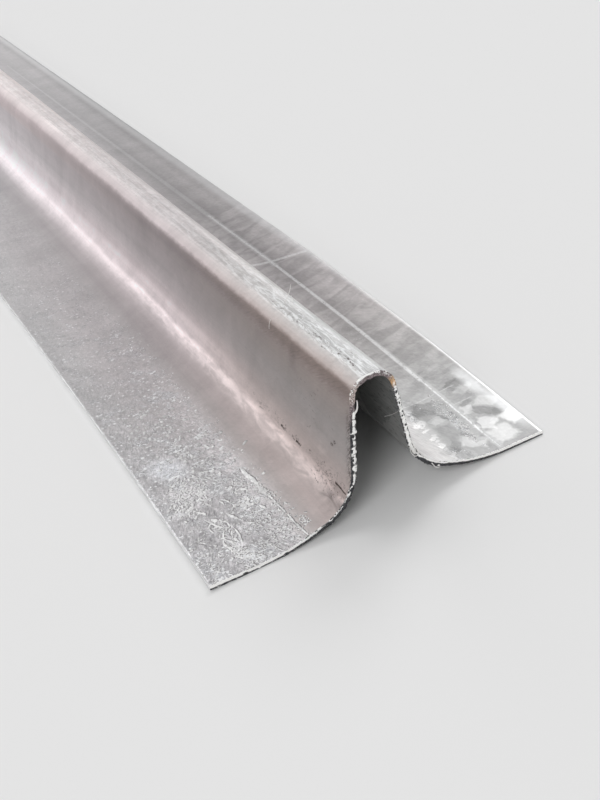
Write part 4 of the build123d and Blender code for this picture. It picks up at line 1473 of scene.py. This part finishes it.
sliverFinish = {"pale": (0.98, 0.97, 0.96, 1), "dim": (0.72, 0.70, 0.68, 1), "metal": 0.5, "rough": 0.3}


def brightSliver():
    cfg = sliverFinish
    material, tree, surface = newMaterial("bright_sliver")
    tone = noise(tree, sheetPlace(tree), (0.5, 0.2))
    feed(tree, surface["Base Color"], blend(tree, tone, cfg["pale"], cfg["dim"]))
    feed(tree, surface["Metallic"], cfg["metal"])
    feed(tree, surface["Roughness"], cfg["rough"])
    return material


makeChannelSkin([scuffedZinc(), dullUnderside(), slitEdge()])
steel = sawnSteel()
makeSawnEnd("sawn_end", True, 11, steel)
makeSawnEnd("far_sawn_end", False, 51, steel)
zinc = raisedZinc()
makeThreads("drawn_threads", *drawnLines(threadShape["rows"]["drawn"]), zinc)
makeThreads("loose_threads", *looseLines(threadShape["rows"]["loose"]), zinc)
bright = brightSliver()
for sliverName, (sliverPath, sliverThick) in slivers.items():
    makeSliver(sliverName, sliverPath, sliverThick, bright)

studio = {
    "floor": (0.84, 0.84, 0.84, 1),
    "floorRough": 0.9,
    "floorSize": 60,                       # metres
    "world": (0.404, 0.404, 0.404, 1),
    "backdrop": (0.77, 0.77, 0.77, 1),     # what the camera sees beyond the floor
    # name: direction of the light's source from +X towards +Y and its height above the floor, how
    # wide it looks from the bar, all in degrees, and its strength
    "lamps": {
        "backRightSoft": (135, 38, 28, 0.66),
        "backLeftSoft": (225, 38, 28, 0.09),
        "backLowSoft": (180, 14.3, 28, 0.28),
        "backHighSoft": (180, 64, 28, 0.34),
        "frontLeftSoft": (315, 38, 28, 1.25),
        "bendSoft": (207, 13, 24, 0.12),
    },
}


def makeStudio():
    cfg = studio
    bpy.ops.mesh.primitive_plane_add(size=cfg["floorSize"], location=(0, 0, 0))
    floor = bpy.context.object
    floor.name = "studio_floor"
    material, tree, surface = newMaterial("pale_floor")
    feed(tree, surface["Base Color"], cfg["floor"])
    feed(tree, surface["Roughness"], cfg["floorRough"])
    feed(tree, surface["Specular IOR Level"], 0.0)
    floor.data.materials.append(material)
    world = bpy.data.worlds.new("pale_studio")
    world.use_nodes = True
    sky = world.node_tree
    glow = sky.nodes["Background"]
    feed(sky, glow.inputs[0], cfg["world"])
    backdrop = addNode(sky, "ShaderNodeBackground", {0: cfg["backdrop"]})
    seen = addNode(sky, "ShaderNodeLightPath").outputs["Is Camera Ray"]
    both = addNode(sky, "ShaderNodeMixShader", {0: seen, 1: glow.outputs[0], 2: backdrop.outputs[0]})
    feed(sky, sky.nodes["World Output"].inputs[0], both.outputs[0])
    bpy.context.scene.world = world
    for name, (turn, rise, wide, power) in cfg["lamps"].items():
        light = bpy.data.lights.new(name, "SUN")
        light.angle = math.radians(wide)
        light.energy = power
        lamp = bpy.data.objects.new(name, light)
        turn, rise = math.radians(turn), math.radians(rise)
        away = Vector((math.cos(turn) * math.cos(rise), math.sin(turn) * math.cos(rise), math.sin(rise)))
        lamp.location = away * 2           # only for the eye: a sun's place changes nothing
        lamp.rotation_euler = (-away).to_track_quat("-Z", "Y").to_euler()
        bpy.context.collection.objects.link(lamp)


photoView = {
    "place": (196.97, -84.999, 160.08),    # mm from the cut end on the floor
    "forward": (-0.80498, 0.28565, -0.52001),
    "right": (0.43683, 0.87845, -0.19367),
    "lensPixels": 1287.8,                  # for a picture 800 pixels tall
    "pictureHeight": 800,
    "sensor": 36,                          # mm
    "clip": (0.01, 100),                   # metres
}


def makeCamera():
    cfg = photoView
    forward, right = Vector(cfg["forward"]).normalized(), Vector(cfg["right"])
    right = (right - forward * right.dot(forward)).normalized()
    up = right.cross(forward)
    camera = bpy.data.cameras.new("photo_camera")
    camera.sensor_fit = "AUTO"
    camera.sensor_width = cfg["sensor"]
    camera.lens = cfg["lensPixels"] / cfg["pictureHeight"] * camera.sensor_width
    camera.clip_start, camera.clip_end = cfg["clip"]
    holder = bpy.data.objects.new("photo_camera", camera)
    turn = Matrix((right, up, -forward)).transposed().to_4x4()
    holder.matrix_world = Matrix.Translation(Vector((endX, 0, 0)) * mm + Vector(cfg["place"]) * mm) @ turn
    bpy.context.collection.objects.link(holder)
    bpy.context.scene.camera = holder


makeStudio()
makeCamera()
bpy.context.scene.view_settings.view_transform = "Standard"
